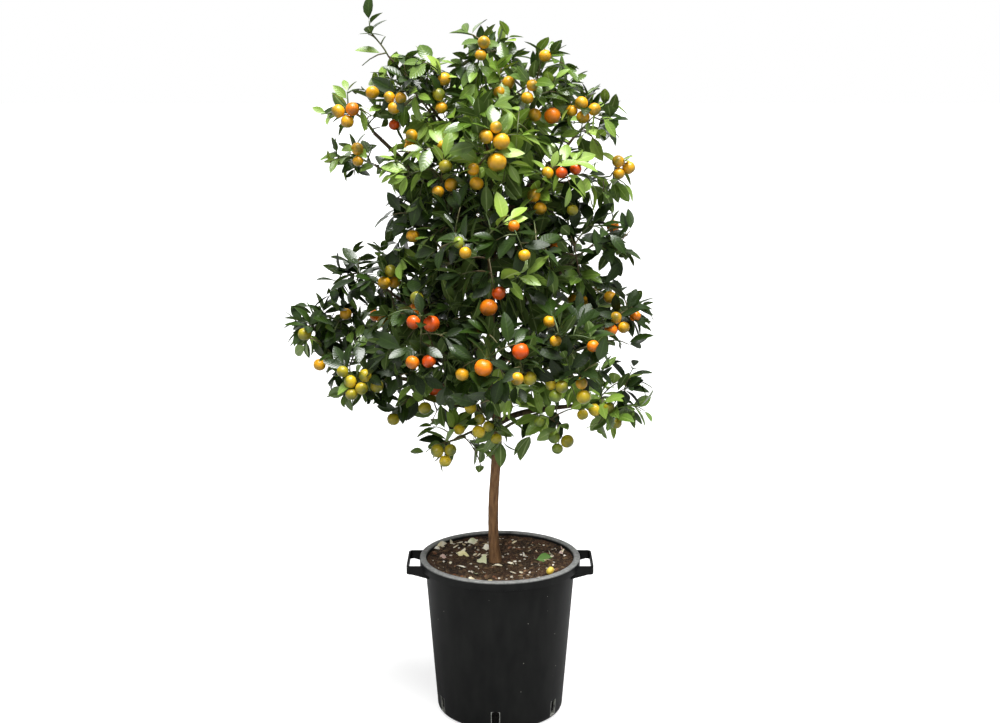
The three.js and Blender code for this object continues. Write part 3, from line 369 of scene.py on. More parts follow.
def trunk_at(height):
    """Middle of the trunk: a slow wobble, and above the lowest bough a slight lean."""
    turn = TAU * (height - TRUNK_FOOT) / WOBBLE_LENGTH
    lean = TRUNK_LEAN * max(height - TRUNK_FORK, 0)
    return Vector((TRUNK_FOOT_X - WOBBLE * math.sin(turn) + lean,
                   WOBBLE_DEPTH * (math.cos(turn) - 1), height))


def trunk_radius(height):
    flare = FLARE * math.exp((TRUNK_FOOT - height) / FLARE_HEIGHT)
    bare = min((height - TRUNK_FOOT) / (TRUNK_FORK - TRUNK_FOOT), 1)
    crowned = max((height - TRUNK_FORK) / (TRUNK_TIP - TRUNK_FORK), 0)
    fork_radius = mix(TRUNK_FORK_RADIUS, TRUNK_TIP_RADIUS, crowned)
    return flare + mix(TRUNK_RADIUS, fork_radius, bare)


def trunk_rings(step):
    count = round((TRUNK_TIP - TRUNK_FOOT) / step)
    heights = [mix(TRUNK_FOOT, TRUNK_TIP, i / count) for i in range(count + 1)]
    return [Ring(trunk_at(height), trunk_radius(height)) for height in heights]


def ring_at(rings, height):
    """The ring of a limb at a height, for what grows out of it there."""
    i = 1
    while i + 1 < len(rings) and rings[i].at.z < height:
        i += 1
    low, high = rings[i - 1], rings[i]
    share = between((height - low.at.z) / (high.at.z - low.at.z), 0, 1)
    return Ring(low.at.lerp(high.at, share), mix(low.radius, high.radius, share))


def spread(middle, reach, point):
    """How far out a point lies in a mass: 0 at its middle and 1 on its outline."""
    away = point - middle
    return math.hypot(away.x / reach.x, away.y / reach.y, away.z / reach.z)


def limb_rings(start, end, heading, foot_radius, tip_radius):
    """Rings of a limb that leaves `start` part upwards, and comes in to `end` along `heading`."""
    span = (end - start).length
    leaving = ((end - start).normalized() + UP * LEAVING_UP).normalized()
    first = start + leaving * (LEAVING_EASE * span)
    second = end - heading * (ARRIVING_EASE * span)
    count = max(2, round(span / LIMB_STEP))
    return [
        Ring(bezier(start, first, second, end, i / count), mix(foot_radius, tip_radius, i / count))
        for i in range(count + 1)
    ]


def grow_limbs():
    """Every limb's rings by name: the trunk, then the boughs, parents first."""
    limbs = {"trunk": trunk_rings(LIMB_STEP)}
    carried = [arm for arm in arms if arm.thick]
    for arm in sorted(carried, key=lambda arm: arm.parent != "trunk"):
        start = ring_at(limbs[arm.parent], arm.leaves).at
        inward = arm.middle - start
        entry = 1 - (1 - BOUGH_ENTRY) / spread(arm.middle, arm.reach, start)
        heading = (inward.normalized() - UP * ARRIVING_DOWN).normalized()
        limbs[arm.name] = limb_rings(start, start + inward * entry, heading, arm.thick,
                                     BOUGH_TIP_SHARE * arm.thick)
    return limbs


def stem_rings(arm, limbs):
    """The stem that carries a mass: on from its bough's tip, or out of the trunk's side or tip."""
    end = arm.middle
    if arm.thick or arm.leaves >= TRUNK_TIP:
        tip = limbs[arm.name if arm.thick else "trunk"][-1]
        start = tip.at
        foot_radius = STEM_SHARE * tip.radius
    else:
        start = ring_at(limbs["trunk"], arm.leaves).at
        foot_radius = STEM_FOOT_RADIUS
    heading = (end - start).normalized()
    return limb_rings(start, end, heading, foot_radius, STEM_TIP_RADIUS)


# ---------------------------------------------------------------- mesh helpers


def mesh_object(name, points, faces, materials):
    """A new piece with its place in its mesh."""
    mesh = bpy.data.meshes.new(name)
    mesh.from_pydata([tuple(point) for point in points], [], faces)
    for finish in materials:
        mesh.materials.append(finish)
    mesh.polygons.foreach_set("use_smooth", [True] * len(mesh.polygons))
    mesh.update()
    piece = bpy.data.objects.new(name, mesh)
    bpy.context.scene.collection.objects.link(piece)
    return piece


def apply_modifiers(piece):
    """Makes the piece's modifiers part of its mesh."""
    shown = piece.evaluated_get(bpy.context.evaluated_depsgraph_get())
    mesh = bpy.data.meshes.new_from_object(shown)
    piece.modifiers.clear()
    old = piece.data
    piece.data = mesh
    mesh.name = piece.name
    bpy.data.meshes.remove(old)


@contextmanager
def opened(piece):
    """The piece's mesh, opened to be changed and then written back."""
    shape = bmesh.new()
    shape.from_mesh(piece.data)
    yield shape
    shape.to_mesh(piece.data)
    shape.free()


def sharpen(piece, degrees):
    """Edges that bend more than this are shaded as edges."""
    limit = math.radians(degrees)
    with opened(piece) as shape:
        for edge in shape.edges:
            edge.smooth = not (edge.is_manifold and edge.calc_face_angle() > limit)


def turned(profile, segments):
    """Points and faces of a body turned about Z, from [radius, height] up its outside."""
    points, rows, faces = [], [], []
    for radius, height in profile:
        if radius == 0:
            rows.append([len(points)] * segments)
            points.append((0, 0, height))
            continue
        rows.append([len(points) + k for k in range(segments)])
        for k in range(segments):
            angle = TAU * k / segments
            points.append((radius * math.cos(angle), radius * math.sin(angle), height))
    for low, high in zip(rows, rows[1:]):
        for k in range(segments):
            n = (k + 1) % segments
            corners = [low[k], low[n], high[n], high[k]]
            face = [c for i, c in enumerate(corners) if c not in corners[:i]]
            if len(face) > 2:
                faces.append(face)
    return points, faces


class Tubes:
    """Closed tubes collected into one mesh."""

    def __init__(self):
        self.points = []
        self.faces = []

    def add(self, rings, sides, swell=None):
        """Adds a tube through rings. `swell` gives a factor for the radius at (ring, angle)."""
        first = len(self.points)
        across = Vector((1, 0, 0))
        for i, (at, radius) in enumerate(rings):
            before = rings[max(i - 1, 0)].at
            along = (rings[min(i + 1, len(rings) - 1)].at - before).normalized()
            across = square_to(along, across)
            beside = along.cross(across)
            for k in range(sides):
                angle = TAU * k / sides
                factor = swell(i, at, angle) if swell else 1
                away = round_about(across, beside, angle)
                self.points.append(at + away * (radius * factor))
        for i in range(len(rings) - 1):
            low = first + i * sides
            for k in range(sides):
                n = (k + 1) % sides
                self.faces.append((low + k, low + n, low + sides + n, low + sides + k))
        last = first + (len(rings) - 1) * sides
        self.faces.append(tuple(first + k for k in reversed(range(sides))))
        self.faces.append(tuple(last + k for k in range(sides)))


def dress(piece, slot, *nodes):
    """The piece rides on the plant's one body and replaces any nodes. Its slot is not used."""
    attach(piece, BODY)
    if nodes:
        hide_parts(*nodes)


# ---------------------------------------------------------------- materials


def linear(hex_colour):
    """An sRGB hex colour as linear RGBA."""
    channels = []
    for i in (1, 3, 5):
        value = int(hex_colour[i:i + 2], 16) / 255
        channels.append(value / 12.92 if value <= 0.04045 else ((value + 0.055) / 1.055) ** 2.4)
    return (*channels, 1)


def feed(tree, made, inputs):
    """Fills a node's inputs: a socket is linked, a hex colour and a value are set."""
    for key, value in inputs.items():
        if isinstance(value, bpy.types.NodeSocket):
            tree.links.new(value, made.inputs[key])
        else:
            made.inputs[key].default_value = linear(value) if isinstance(value, str) else value


def add(tree, kind, inputs=None, **settings):
    """Adds a node with its settings and its inputs, and gives its outputs."""
    made = tree.nodes.new(kind)
    for key, value in settings.items():
        setattr(made, key, value)
    feed(tree, made, inputs or {})
    return made.outputs


def blank(name, roughness, specular=0.5, coat=0.0):
    """A new material with its constants: (material, node tree, shader node)."""
    made = bpy.data.materials.new(name)
    made.use_nodes = True
    shader = made.node_tree.nodes["Principled BSDF"]
    feed(made.node_tree, shader, {
        "Roughness": roughness, "Specular IOR Level": specular, "Coat Weight": coat})
    return made, made.node_tree, shader


def per_mm(size):
    """The scale of a pattern whose marks are this many millimetres apart."""
    return 1 / (MM * size)


COORD = "ShaderNodeTexCoord"
NOISE = "ShaderNodeTexNoise"
CELLS = "ShaderNodeTexVoronoi"
RANGE = "ShaderNodeMapRange"
MATHS = "ShaderNodeMath"
APART = "ShaderNodeSeparateXYZ"
BUMP = "ShaderNodeBump"
MIX = "ShaderNodeMix"
COLOURS = {"data_type": "RGBA"}  # a Mix node that mixes colours, and its sockets
LOW, HIGH, MIXED = 6, 7, 2


def moulded_polypropylene():
    """Black recycled polypropylene: near black and matt, with faint upright flow lines from the
    mould, and grey on top of the lip, partly rubbed and partly a painted highlight."""
    made, tree, shader = blank("moulded_black_polypropylene", 0.5, 0.14)
    place = add(tree, COORD)["Object"]
    # flow lines about 25 mm apart and three times as long
    drawn = add(tree, "ShaderNodeMapping", {
        "Vector": place, "Scale": (per_mm(25), per_mm(25), per_mm(75))})["Vector"]
    flow = add(tree, NOISE, {"Vector": drawn, "Scale": 1.0, "Detail": 4.0})["Fac"]
    cloudy = add(tree, RANGE, {"Value": flow, "From Min": 0.35, "From Max": 0.7})["Result"]
    base = add(tree, MIX, {
        "Factor": cloudy, LOW: "#090a0a", HIGH: "#131413"}, **COLOURS)[MIXED]
    # the lip's top face is grey in patches of a few millimetres: partly rubbed, partly a painted
    # highlight where light from above falls on it
    apart = add(tree, APART, {"Vector": place})
    top = add(tree, RANGE, {
        "Value": apart["Z"], "From Min": LIP_RUB_AND_HIGHLIGHT_FOOT, "From Max": LIP_RUB_AND_HIGHLIGHT_TOP})["Result"]
    scuffs_and_sheen_patches = add(tree, NOISE, {"Vector": place, "Scale": per_mm(7), "Detail": 5.0})["Fac"]
    patchy = add(tree, RANGE, {
        "Value": scuffs_and_sheen_patches, "From Min": 0.25, "From Max": 0.75, "To Min": 0.45})["Result"]
    worn_and_lit = add(tree, MATHS, {0: top, 1: patchy}, operation="MULTIPLY")[0]
    lipped = add(tree, MIX, {"Factor": worn_and_lit, LOW: base, HIGH: "#949593"}, **COLOURS)[MIXED]
    # dried splashes about two millimetres wide, 30 mm apart
    splashes = add(tree, CELLS, {"Vector": place, "Scale": per_mm(30)})["Distance"]
    spot = add(tree, RANGE, {
        "Value": splashes, "From Min": 0.045, "From Max": 0.025})["Result"]
    splashed = add(tree, MIX, {"Factor": spot, LOW: lipped, HIGH: "#77766f"}, **COLOURS)[MIXED]
    # the wall is rubbed pale along both sides of each drain slot
    out = add(tree, MATHS, {0: apart["Y"], 1: -1.0}, operation="MULTIPLY")[0]
    angle = add(tree, MATHS, {0: apart["X"], 1: out}, operation="ARCTAN2")[0]
    turned_to = add(tree, MATHS, {0: angle, 1: SLOT_TURN}, operation="SUBTRACT")[0]
    folded = add(tree, MATHS, {0: turned_to, 1: math.pi / SLOT_COUNT}, operation="PINGPONG")[0]
    across = add(tree, MATHS, {
        0: folded, 1: POT_FOOT_RADIUS, 2: -SLOT_WIDTH / 2}, operation="MULTIPLY_ADD")[0]
    level = add(tree, MATHS, {0: apart["Z"], 1: SLOT_MIDDLE}, operation="SUBTRACT")[0]
    off_level = add(tree, MATHS, {0: level}, operation="ABSOLUTE")[0]
    beside = add(tree, MATHS, {
        0: off_level, 1: (SLOT_TOP - SLOT_FOOT) / 2}, operation="LESS_THAN")[0]
    rub = add(tree, RANGE, {
        "Value": across, "From Min": SLOT_RUB, "From Max": SLOT_RUB_FULL,
        "To Max": beside})["Result"]
    rubbed = add(tree, MATHS, {0: rub, 1: patchy}, operation="MULTIPLY")[0]
    tone = add(tree, MIX, {
        "Factor": rubbed, LOW: splashed, HIGH: "#8d8f8a"}, **COLOURS)[MIXED]
    grain = add(tree, NOISE, {"Vector": place, "Scale": per_mm(1.1), "Detail": 2.0})["Fac"]
    bump = add(tree, BUMP, {"Height": grain, "Strength": 0.12, "Distance": 0.0003})["Normal"]
    feed(tree, shader, {"Base Color": tone, "Normal": bump})
    return made


def cut_polypropylene():
    """The same plastic where a slot was cut and rubbed pale along its edge."""
    made, tree, shader = blank("rubbed_polypropylene_edge", 0.6, 0.4)
    place = add(tree, COORD)["Object"]
    rub = add(tree, NOISE, {"Vector": place, "Scale": per_mm(8)})["Fac"]
    patchy = add(tree, RANGE, {"Value": rub, "From Min": 0.35, "From Max": 0.65})["Result"]
    tone = add(tree, MIX, {
        "Factor": patchy, LOW: "#4c4e4a", HIGH: "#96978f"}, **COLOURS)[MIXED]
    feed(tree, shader, {"Base Color": tone})
    return made


def potting_mix():
    """Damp peat and fine bark: dark brown crumbs a few millimetres across, redder in patches."""
    made, tree, shader = blank("peat_potting_mix", 0.95, 0.2)
    place = add(tree, COORD)["Object"]
    crumbs = add(tree, CELLS, {"Vector": place, "Scale": per_mm(5)})["Distance"]
    patches = add(tree, NOISE, {"Vector": place, "Scale": per_mm(40), "Detail": 4.0})["Fac"]
    redder = add(tree, RANGE, {"Value": patches, "From Min": 0.4, "From Max": 0.62})["Result"]
    dark = add(tree, MIX, {"Factor": redder, LOW: "#231b14", HIGH: "#483123"}, **COLOURS)[MIXED]
    raised_share = add(tree, RANGE, {
        "Value": crumbs, "From Min": 0.1, "From Max": 0.6})["Result"]
    dry = add(tree, MIX, {
        "Factor": raised_share, LOW: "#624d36", HIGH: dark}, **COLOURS)[MIXED]
    # it is painted almost black low down, where the drain slots show it: painted shade in the pot's
    # hollow
    height = add(tree, APART, {"Vector": place})["Z"]
    out_of_painted_shade = add(tree, RANGE, {
        "Value": height, "From Min": SOIL_PAINTED_SHADE_TOP, "From Max": SOIL_PAINTED_SHADE_END})["Result"]
    tone = add(tree, MIX, {"Factor": out_of_painted_shade, LOW: "#0b0907", HIGH: dry}, **COLOURS)[MIXED]
    bump = add(tree, BUMP, {"Height": crumbs, "Strength": 0.9, "Distance": 0.004})["Normal"]
    feed(tree, shader, {"Base Color": tone, "Normal": bump})
    return made


def chip(name, dark, pale, grain_mm=4.0):
    """Loose bits on the soil: bark, grit or dry leaf, each bit its own shade."""
    made, tree, shader = blank(name, 0.85, 0.25)
    place = add(tree, COORD)["Object"]
    coarse = add(tree, NOISE, {"Vector": place, "Scale": per_mm(22)})["Fac"]
    shade = add(tree, RANGE, {"Value": coarse, "From Min": 0.4, "From Max": 0.6})["Result"]
    tone = add(tree, MIX, {"Factor": shade, LOW: dark, HIGH: pale}, **COLOURS)[MIXED]
    fine = add(tree, NOISE, {"Vector": place, "Scale": per_mm(grain_mm), "Detail": 3.0})["Fac"]
    bump = add(tree, BUMP, {"Height": fine, "Strength": 0.5, "Distance": 0.001})["Normal"]
    feed(tree, shader, {"Base Color": tone, "Normal": bump})
    return made


def citrus_bark(name, dark, pale, streak_mm):
    """Smooth citrus bark: brown, with long fine streaks and small pale pores."""
    made, tree, shader = blank(name, 0.78, 0.3)
    place = add(tree, COORD)["Object"]
    # a streak is six times as long as it is wide
    wide = per_mm(2 * streak_mm)
    drawn = add(tree, "ShaderNodeMapping", {
        "Vector": place, "Scale": (wide, wide, wide / 6)})["Vector"]
    streaks = add(tree, NOISE, {"Vector": drawn, "Scale": 1.0, "Detail": 5.0})["Fac"]
    streaky = add(tree, RANGE, {"Value": streaks, "From Min": 0.3, "From Max": 0.65})["Result"]
    bark = add(tree, MIX, {"Factor": streaky, LOW: dark, HIGH: pale}, **COLOURS)[MIXED]
    blotches = add(tree, NOISE, {"Vector": place, "Scale": per_mm(26), "Detail": 3.0})["Fac"]
    dull = add(tree, RANGE, {
        "Value": blotches, "From Min": 0.5, "From Max": 0.75, "To Max": 0.4})["Result"]
    shaded = add(tree, MIX, {"Factor": dull, LOW: bark, HIGH: dark}, **COLOURS)[MIXED]
    pores = add(tree, CELLS, {"Vector": place, "Scale": per_mm(3.3)})["Distance"]
    dotted = add(tree, RANGE, {
        "Value": pores, "From Min": 0.16, "From Max": 0.08, "To Max": 0.5})["Result"]
    tone = add(tree, MIX, {"Factor": dotted, LOW: shaded, HIGH: "#b09468"}, **COLOURS)[MIXED]
    bump = add(tree, BUMP, {"Height": streaks, "Strength": 0.5, "Distance": 0.0012})["Normal"]
    feed(tree, shader, {"Base Color": tone, "Normal": bump})
    return made


def young_shoot():
    """Green twigs of the last two years, browner in patches."""
    made, tree, shader = blank("green_citrus_twig", 0.55)
    place = add(tree, COORD)["Object"]
    patches = add(tree, NOISE, {"Vector": place, "Scale": per_mm(70), "Detail": 3.0})["Fac"]
    brown = add(tree, RANGE, {"Value": patches, "From Min": 0.4, "From Max": 0.62})["Result"]
    tone = add(tree, MIX, {
        "Factor": brown, LOW: "#46582a", HIGH: "#5d4c30"}, **COLOURS)[MIXED]
    feed(tree, shader, {"Base Color": tone})
    return made


LEAF_MIDRIB = 0.05  # half width of the pale midrib, as a share of the blade's half width
VEIN_PAIRS = 8
VEIN_RUN = 0.16  # how far forwards a side vein has run at the blade's edge, as a share of its length


def waxy_leaf(name, blade, rib, roughness=0.27, coat=0.35, specular=0.45):
    """Upper side of a citrus leaf: waxy and glossy, with a pale midrib and faint side veins."""
    made, tree, shader = blank(name, roughness, specular, coat)
    feed(tree, shader, {"Coat Roughness": 0.2})
    on_leaf = add(tree, APART, {"Vector": add(tree, "ShaderNodeUVMap", uv_map="leaf")["UV"]})
    off_rib = add(tree, MATHS, {0: on_leaf["X"]}, operation="ABSOLUTE")[0]
    on_rib = add(tree, RANGE, {
        "Value": off_rib, "From Min": LEAF_MIDRIB, "From Max": 2.4 * LEAF_MIDRIB,
        "To Min": 0.5, "To Max": 0.0})["Result"]
    place = add(tree, COORD)["Object"]
    patches = add(tree, NOISE, {"Vector": place, "Scale": per_mm(110), "Detail": 2.0})["Fac"]
    paler = add(tree, RANGE, {
        "Value": patches, "From Min": 0.35, "From Max": 0.65, "To Max": 0.3})["Result"]
    varied = add(tree, MIX, {"Factor": paler, LOW: blade, HIGH: rib}, **COLOURS)[MIXED]
    tone = add(tree, MIX, {"Factor": on_rib, LOW: varied, HIGH: rib}, **COLOURS)[MIXED]
    # side veins leave the midrib forwards at about 50 degrees
    slant = add(tree, MATHS, {
        0: off_rib, 1: -VEIN_RUN, 2: on_leaf["Y"]}, operation="MULTIPLY_ADD")[0]
    phase = add(tree, MATHS, {0: slant, 1: TAU * VEIN_PAIRS}, operation="MULTIPLY")[0]
    veins = add(tree, MATHS, {0: phase}, operation="SINE")[0]
    bump = add(tree, BUMP, {"Height": veins, "Strength": 0.15, "Distance": 0.0006})["Normal"]
    feed(tree, shader, {"Base Color": tone, "Normal": bump})
    return made


def matt_underside(name, blade, rib):
    """Underside of a citrus leaf: paler and matt."""
    made, tree, shader = blank(name, 0.62, 0.3)
    on_leaf = add(tree, APART, {"Vector": add(tree, "ShaderNodeUVMap", uv_map="leaf")["UV"]})
    off_rib = add(tree, MATHS, {0: on_leaf["X"]}, operation="ABSOLUTE")[0]
    off = add(tree, RANGE, {
        "Value": off_rib, "From Min": LEAF_MIDRIB, "From Max": 3 * LEAF_MIDRIB})["Result"]
    tone = add(tree, MIX, {"Factor": off, LOW: rib, HIGH: blade}, **COLOURS)[MIXED]
    feed(tree, shader, {"Base Color": tone})
    return made


def citrus_peel(name, cheek, eye_end_and_painted_shade):
    """Thin citrus peel: waxy, dimpled with oil glands about a millimetre apart, and greener and
    duller in patches and towards the lower eye end, there partly as painted shade."""
    made, tree, shader = blank(name, 0.33, 0.4, 0.06)
    on_fruit = add(tree, APART, {"Vector": add(tree, "ShaderNodeUVMap", uv_map="peel")["UV"]})
    place = add(tree, COORD)["Object"]
    patches = add(tree, NOISE, {"Vector": place, "Scale": per_mm(17), "Detail": 3.0})["Fac"]
    # towards the eye, the lower end of a hanging fruit, the peel turns to the darker eye colour:
    # partly unripe green, partly painted shade
    drift = add(tree, MATHS, {0: patches, 1: 0.7, 2: on_fruit["Y"]}, operation="MULTIPLY_ADD")[0]
    ripe_and_lit = add(tree, RANGE, {"Value": drift, "From Min": 1.25, "From Max": 0.75})["Result"]
    tone = add(tree, MIX, {"Factor": ripe_and_lit, LOW: eye_end_and_painted_shade, HIGH: cheek}, **COLOURS)[MIXED]
    glands = add(tree, CELLS, {"Vector": place, "Scale": per_mm(1.1)})["Distance"]
    bump = add(tree, BUMP, {"Height": glands, "Strength": 0.25, "Distance": 0.0005})["Normal"]
    feed(tree, shader, {"Base Color": tone, "Normal": bump})
    return made


# ---------------------------------------------------------------- settings that a user changes


class PotSettings(bpy.types.PropertyGroup):
    """Sizes of the pot's fittings."""
    slot_width: FloatProperty(
        name="Slot width", description="Width of each drain slot at the pot's foot",
        default=SLOT_WIDTH, min=0.004, max=0.03, unit="LENGTH")
    slot_top: FloatProperty(
        name="Slot top", description="Height that the drain slots reach",
        default=SLOT_TOP, min=0.012, max=0.08, unit="LENGTH")


class SoilSettings(bpy.types.PropertyGroup):
    """The soil's surface and what lies on it."""
    relief: FloatProperty(
        name="Relief", description="Height of the soil's lumps above and below its surface",
        default=0.0022, min=0.0, max=0.006, unit="LENGTH")
    chips: IntProperty(
        name="Bark chips", description="Number of bark chips on each square metre of soil",
        default=5200, min=0, max=20000)
    grit: IntProperty(
        name="Grit", description="Number of pale stones on each square metre of soil",
        default=1100, min=0, max=20000)
    seed: IntProperty(
        name="Seed", description="Seed for where the chips and stones lie", default=7, min=0)


class WoodSettings(bpy.types.PropertyGroup):
    """Relief of the bark."""
    relief: FloatProperty(
        name="Bark relief", description="Swelling of the bark, as a share of the limb's radius",
        default=0.05, min=0.0, max=0.2, subtype="FACTOR")
    node_spacing: FloatProperty(
        name="Node spacing", description="Distance between the swollen rings of old leaf scars",
        default=0.034, min=0.01, max=0.1, unit="LENGTH")


class LeafSettings(bpy.types.PropertyGroup):
    """Sizes of the leaves and how densely they stand."""
    length: FloatProperty(
        name="Leaf length", description="Length of a full-grown leaf with its stalk",
        default=0.072, min=0.03, max=0.12, unit="LENGTH")
    width: FloatProperty(
        name="Leaf width", description="Width of a full-grown leaf",
        default=0.030, min=0.01, max=0.06, unit="LENGTH")
    internode: FloatProperty(
        name="Internode", description="Distance between neighbouring leaves on a shoot",
        default=0.013, min=0.006, max=0.04, unit="LENGTH")
    shoots: IntProperty(
        name="Shoots", description="Leafy shoots in a mass of the usual size that is quite full",
        default=21, min=1, max=60)


class FruitSettings(bpy.types.PropertyGroup):
    """Sizes of the fruit."""
    diameter: FloatProperty(
        name="Fruit diameter", description="Width of an ordinary fruit",
        default=0.0275, min=0.02, max=0.05, unit="LENGTH")
    flatness: FloatProperty(
        name="Flatness", description="Height of a fruit as a share of its width",
        default=0.96, min=0.7, max=1.0, subtype="FACTOR")


class StageSettings(bpy.types.PropertyGroup):
    """The floor and the light."""
    floor_colour: FloatVectorProperty(
        name="Floor colour", description="Linear colour of the plain pale floor",
        default=(0.3, 0.3, 0.3), min=0.0, max=1.0, size=3, subtype="COLOR")
    floor_glow: FloatProperty(
        name="Floor glow", description="How much whiter the floor looks than it is lit",
        default=0.76, min=0.0, max=1.0)
    overhead: FloatProperty(
        name="Overhead light", description="Strength of the soft light above the plant",
        default=8.8, min=0.0, max=20.0)
    overhead_width: FloatProperty(
        name="Overhead width", description="How wide the overhead light spreads over the sky",
        default=math.radians(38), min=0.0, max=math.pi, unit="ROTATION")
    sky: FloatProperty(
        name="Sky light", description="Strength of the even light from all round",
        default=0.2, min=0.0, max=2.0)
    shine: FloatProperty(
        name="Sky shine", description="How much brighter overhead sky is in glossy leaves and peel",
        default=0.4, min=0.0, max=5.0)
    key: FloatProperty(
        name="Key light", description="Power of the soft light at the front right",
        default=17.0, min=0.0, max=500.0, unit="POWER")
    soil: FloatProperty(
        name="Soil light", description="Power of the soft spot that reaches the soil",
        default=100.0, min=0.0, max=1000.0, unit="POWER")


# ---------------------------------------------------------------- the pot


def wall_radius(height):
    share = (height - POT_FOOT_ROUND) / (LIP_FOOT - POT_FOOT_ROUND)
    return mix(POT_FOOT_RADIUS, POT_SHOULDER_RADIUS, share)


def inner_radius(height):
    """Radius of what fills the pot at a height, a gap clear of its wall."""
    return wall_radius(height) - POT_WALL - GAP


def arc(radius, height, round_radius, start, end, steps):
    """Profile points round a corner, from one angle in degrees to another."""
    return [
        (radius + round_radius * math.cos(math.radians(mix(start, end, i / steps))),
         height + round_radius * math.sin(math.radians(mix(start, end, i / steps))))
        for i in range(steps + 1)
    ]


def pot_profile():
    """Up the outside, over the rolled lip and its skirt, and down the inside."""
    foot = POT_FOOT_ROUND
    lip_inner = wall_radius(POT_HEIGHT) - POT_WALL
    small = LIP_ROUND / 3
    profile = [(0, 0)]
    profile += arc(POT_FOOT_RADIUS - foot, foot, foot, -90, -4, 7)
    rise = 10
    profile += [(wall_radius(mix(foot, LIP_FOOT, i / rise)), mix(foot, LIP_FOOT, i / rise))
                for i in range(1, rise + 1)]
    under = POT_HEIGHT - LIP_THICK
    profile += [(wall_radius(under), under), (LIP_RADIUS - LIP_THICK, under)]
    profile += [(LIP_RADIUS - LIP_THICK, LIP_FOOT + small)]
    profile += arc(LIP_RADIUS - LIP_THICK + small, LIP_FOOT + small, small, 180, 270, 2)
    profile += arc(LIP_RADIUS - small, LIP_FOOT + small, small, 270, 360, 2)
    profile += arc(LIP_RADIUS - LIP_ROUND, POT_HEIGHT - LIP_ROUND, LIP_ROUND, 0, 90, 4)
    profile += arc(lip_inner + LIP_ROUND, POT_HEIGHT - LIP_ROUND, LIP_ROUND, 90, 180, 4)
    profile += [(wall_radius(POT_INSIDE_FOOT) - POT_WALL, POT_INSIDE_FOOT)]
    profile += [(POT_FOOT_RADIUS - POT_FOOT_ROUND - POT_WALL, POT_FLOOR), (0, POT_FLOOR)]
    return profile


def slot_cutter(settings, edge):
    """The drain slots as one mesh of long blocks with rounded corners."""
    points, faces = [], []
    height = settings.slot_top - SLOT_FOOT
    middle = (settings.slot_top + SLOT_FOOT) / 2
    corner = SLOT_CORNER
    outline = []
    for across, up, start in ((1, 1, 0), (-1, 1, 90), (-1, -1, 180), (1, -1, 270)):
        outline += arc(across * (settings.slot_width / 2 - corner),
                       middle + up * (height / 2 - corner), corner, start, start + 90, 3)
    for i in range(SLOT_COUNT):
        turn = Matrix.Rotation(SLOT_TURN + TAU * i / SLOT_COUNT, 3, "Z")
        first = len(points)
        for depth in (POT_FOOT_RADIUS - SLOT_DEPTH / 2, POT_FOOT_RADIUS + SLOT_DEPTH / 2):
            points += [turn @ Vector((across, -depth, up)) for across, up in outline]
        n = len(outline)
        faces.append([first + k for k in range(n)])
        faces.append([first + n + k for k in reversed(range(n))])
        for k in range(n):
            m = (k + 1) % n
            faces.append([first + m, first + k, first + n + k, first + n + m])
    cutter = mesh_object("slot_cutter", points, faces, [edge])
    with opened(cutter) as shape:
        bmesh.ops.recalc_face_normals(shape, faces=shape.faces)
    return cutter


class CALAMONDIN_OT_pot(bpy.types.Operator):
    """Makes the pot with its rolled lip and drain slots."""
    bl_idname = "calamondin.pot"
    bl_label = "Pot"

    def execute(self, context):
        settings = context.scene.calamondin_pot
        points, faces = turned(pot_profile(), POT_SEGMENTS)
        pot = mesh_object("nursery_pot", points, faces, [moulded_polypropylene()])
        cutter = slot_cutter(settings, cut_polypropylene())
        cut = pot.modifiers.new("slots", "BOOLEAN")
        cut.object = cutter
        cut.operation = "DIFFERENCE"
        cut.solver = "EXACT"
        cut.material_mode = "TRANSFER"
        apply_modifiers(pot)
        bpy.data.objects.remove(cutter)
        sharpen(pot, degrees=35)
        dress(pot, "pot_plastic", "pot")
        return {"FINISHED"}


# ---------------------------------------------------------------- the handles


def strap_outline():
    """The right handle seen from above: a U with round corners, open towards the pot."""
    half = HANDLE_WIDTH / 2
    corner = HANDLE_CORNER
    inner = corner - HANDLE_THICK
    at = HANDLE_REACH - corner
    outline = [(HANDLE_ROOT, -half)]
    outline += arc(at, corner - half, corner, -90, 0, 6)
    outline += arc(at, half - corner, corner, 0, 90, 6)
    outline += [(HANDLE_ROOT, half), (HANDLE_ROOT, half - HANDLE_THICK)]
    outline += arc(at, half - corner, inner, 90, 0, 6)
    outline += arc(at, corner - half, inner, 0, -90, 6)
    outline += [(HANDLE_ROOT, HANDLE_THICK - half)]
    return outline


def raised(outline, place):
    """Points and faces of an outline raised between two levels; `place` makes the 3D points."""
    n = len(outline)
    points = [place(across, up, level) for level in (0, 1) for across, up in outline]
    faces = [list(reversed(range(n))), list(range(n, 2 * n))]
    faces += [[k, (k + 1) % n, n + (k + 1) % n, n + k] for k in range(n)]
    return points, faces


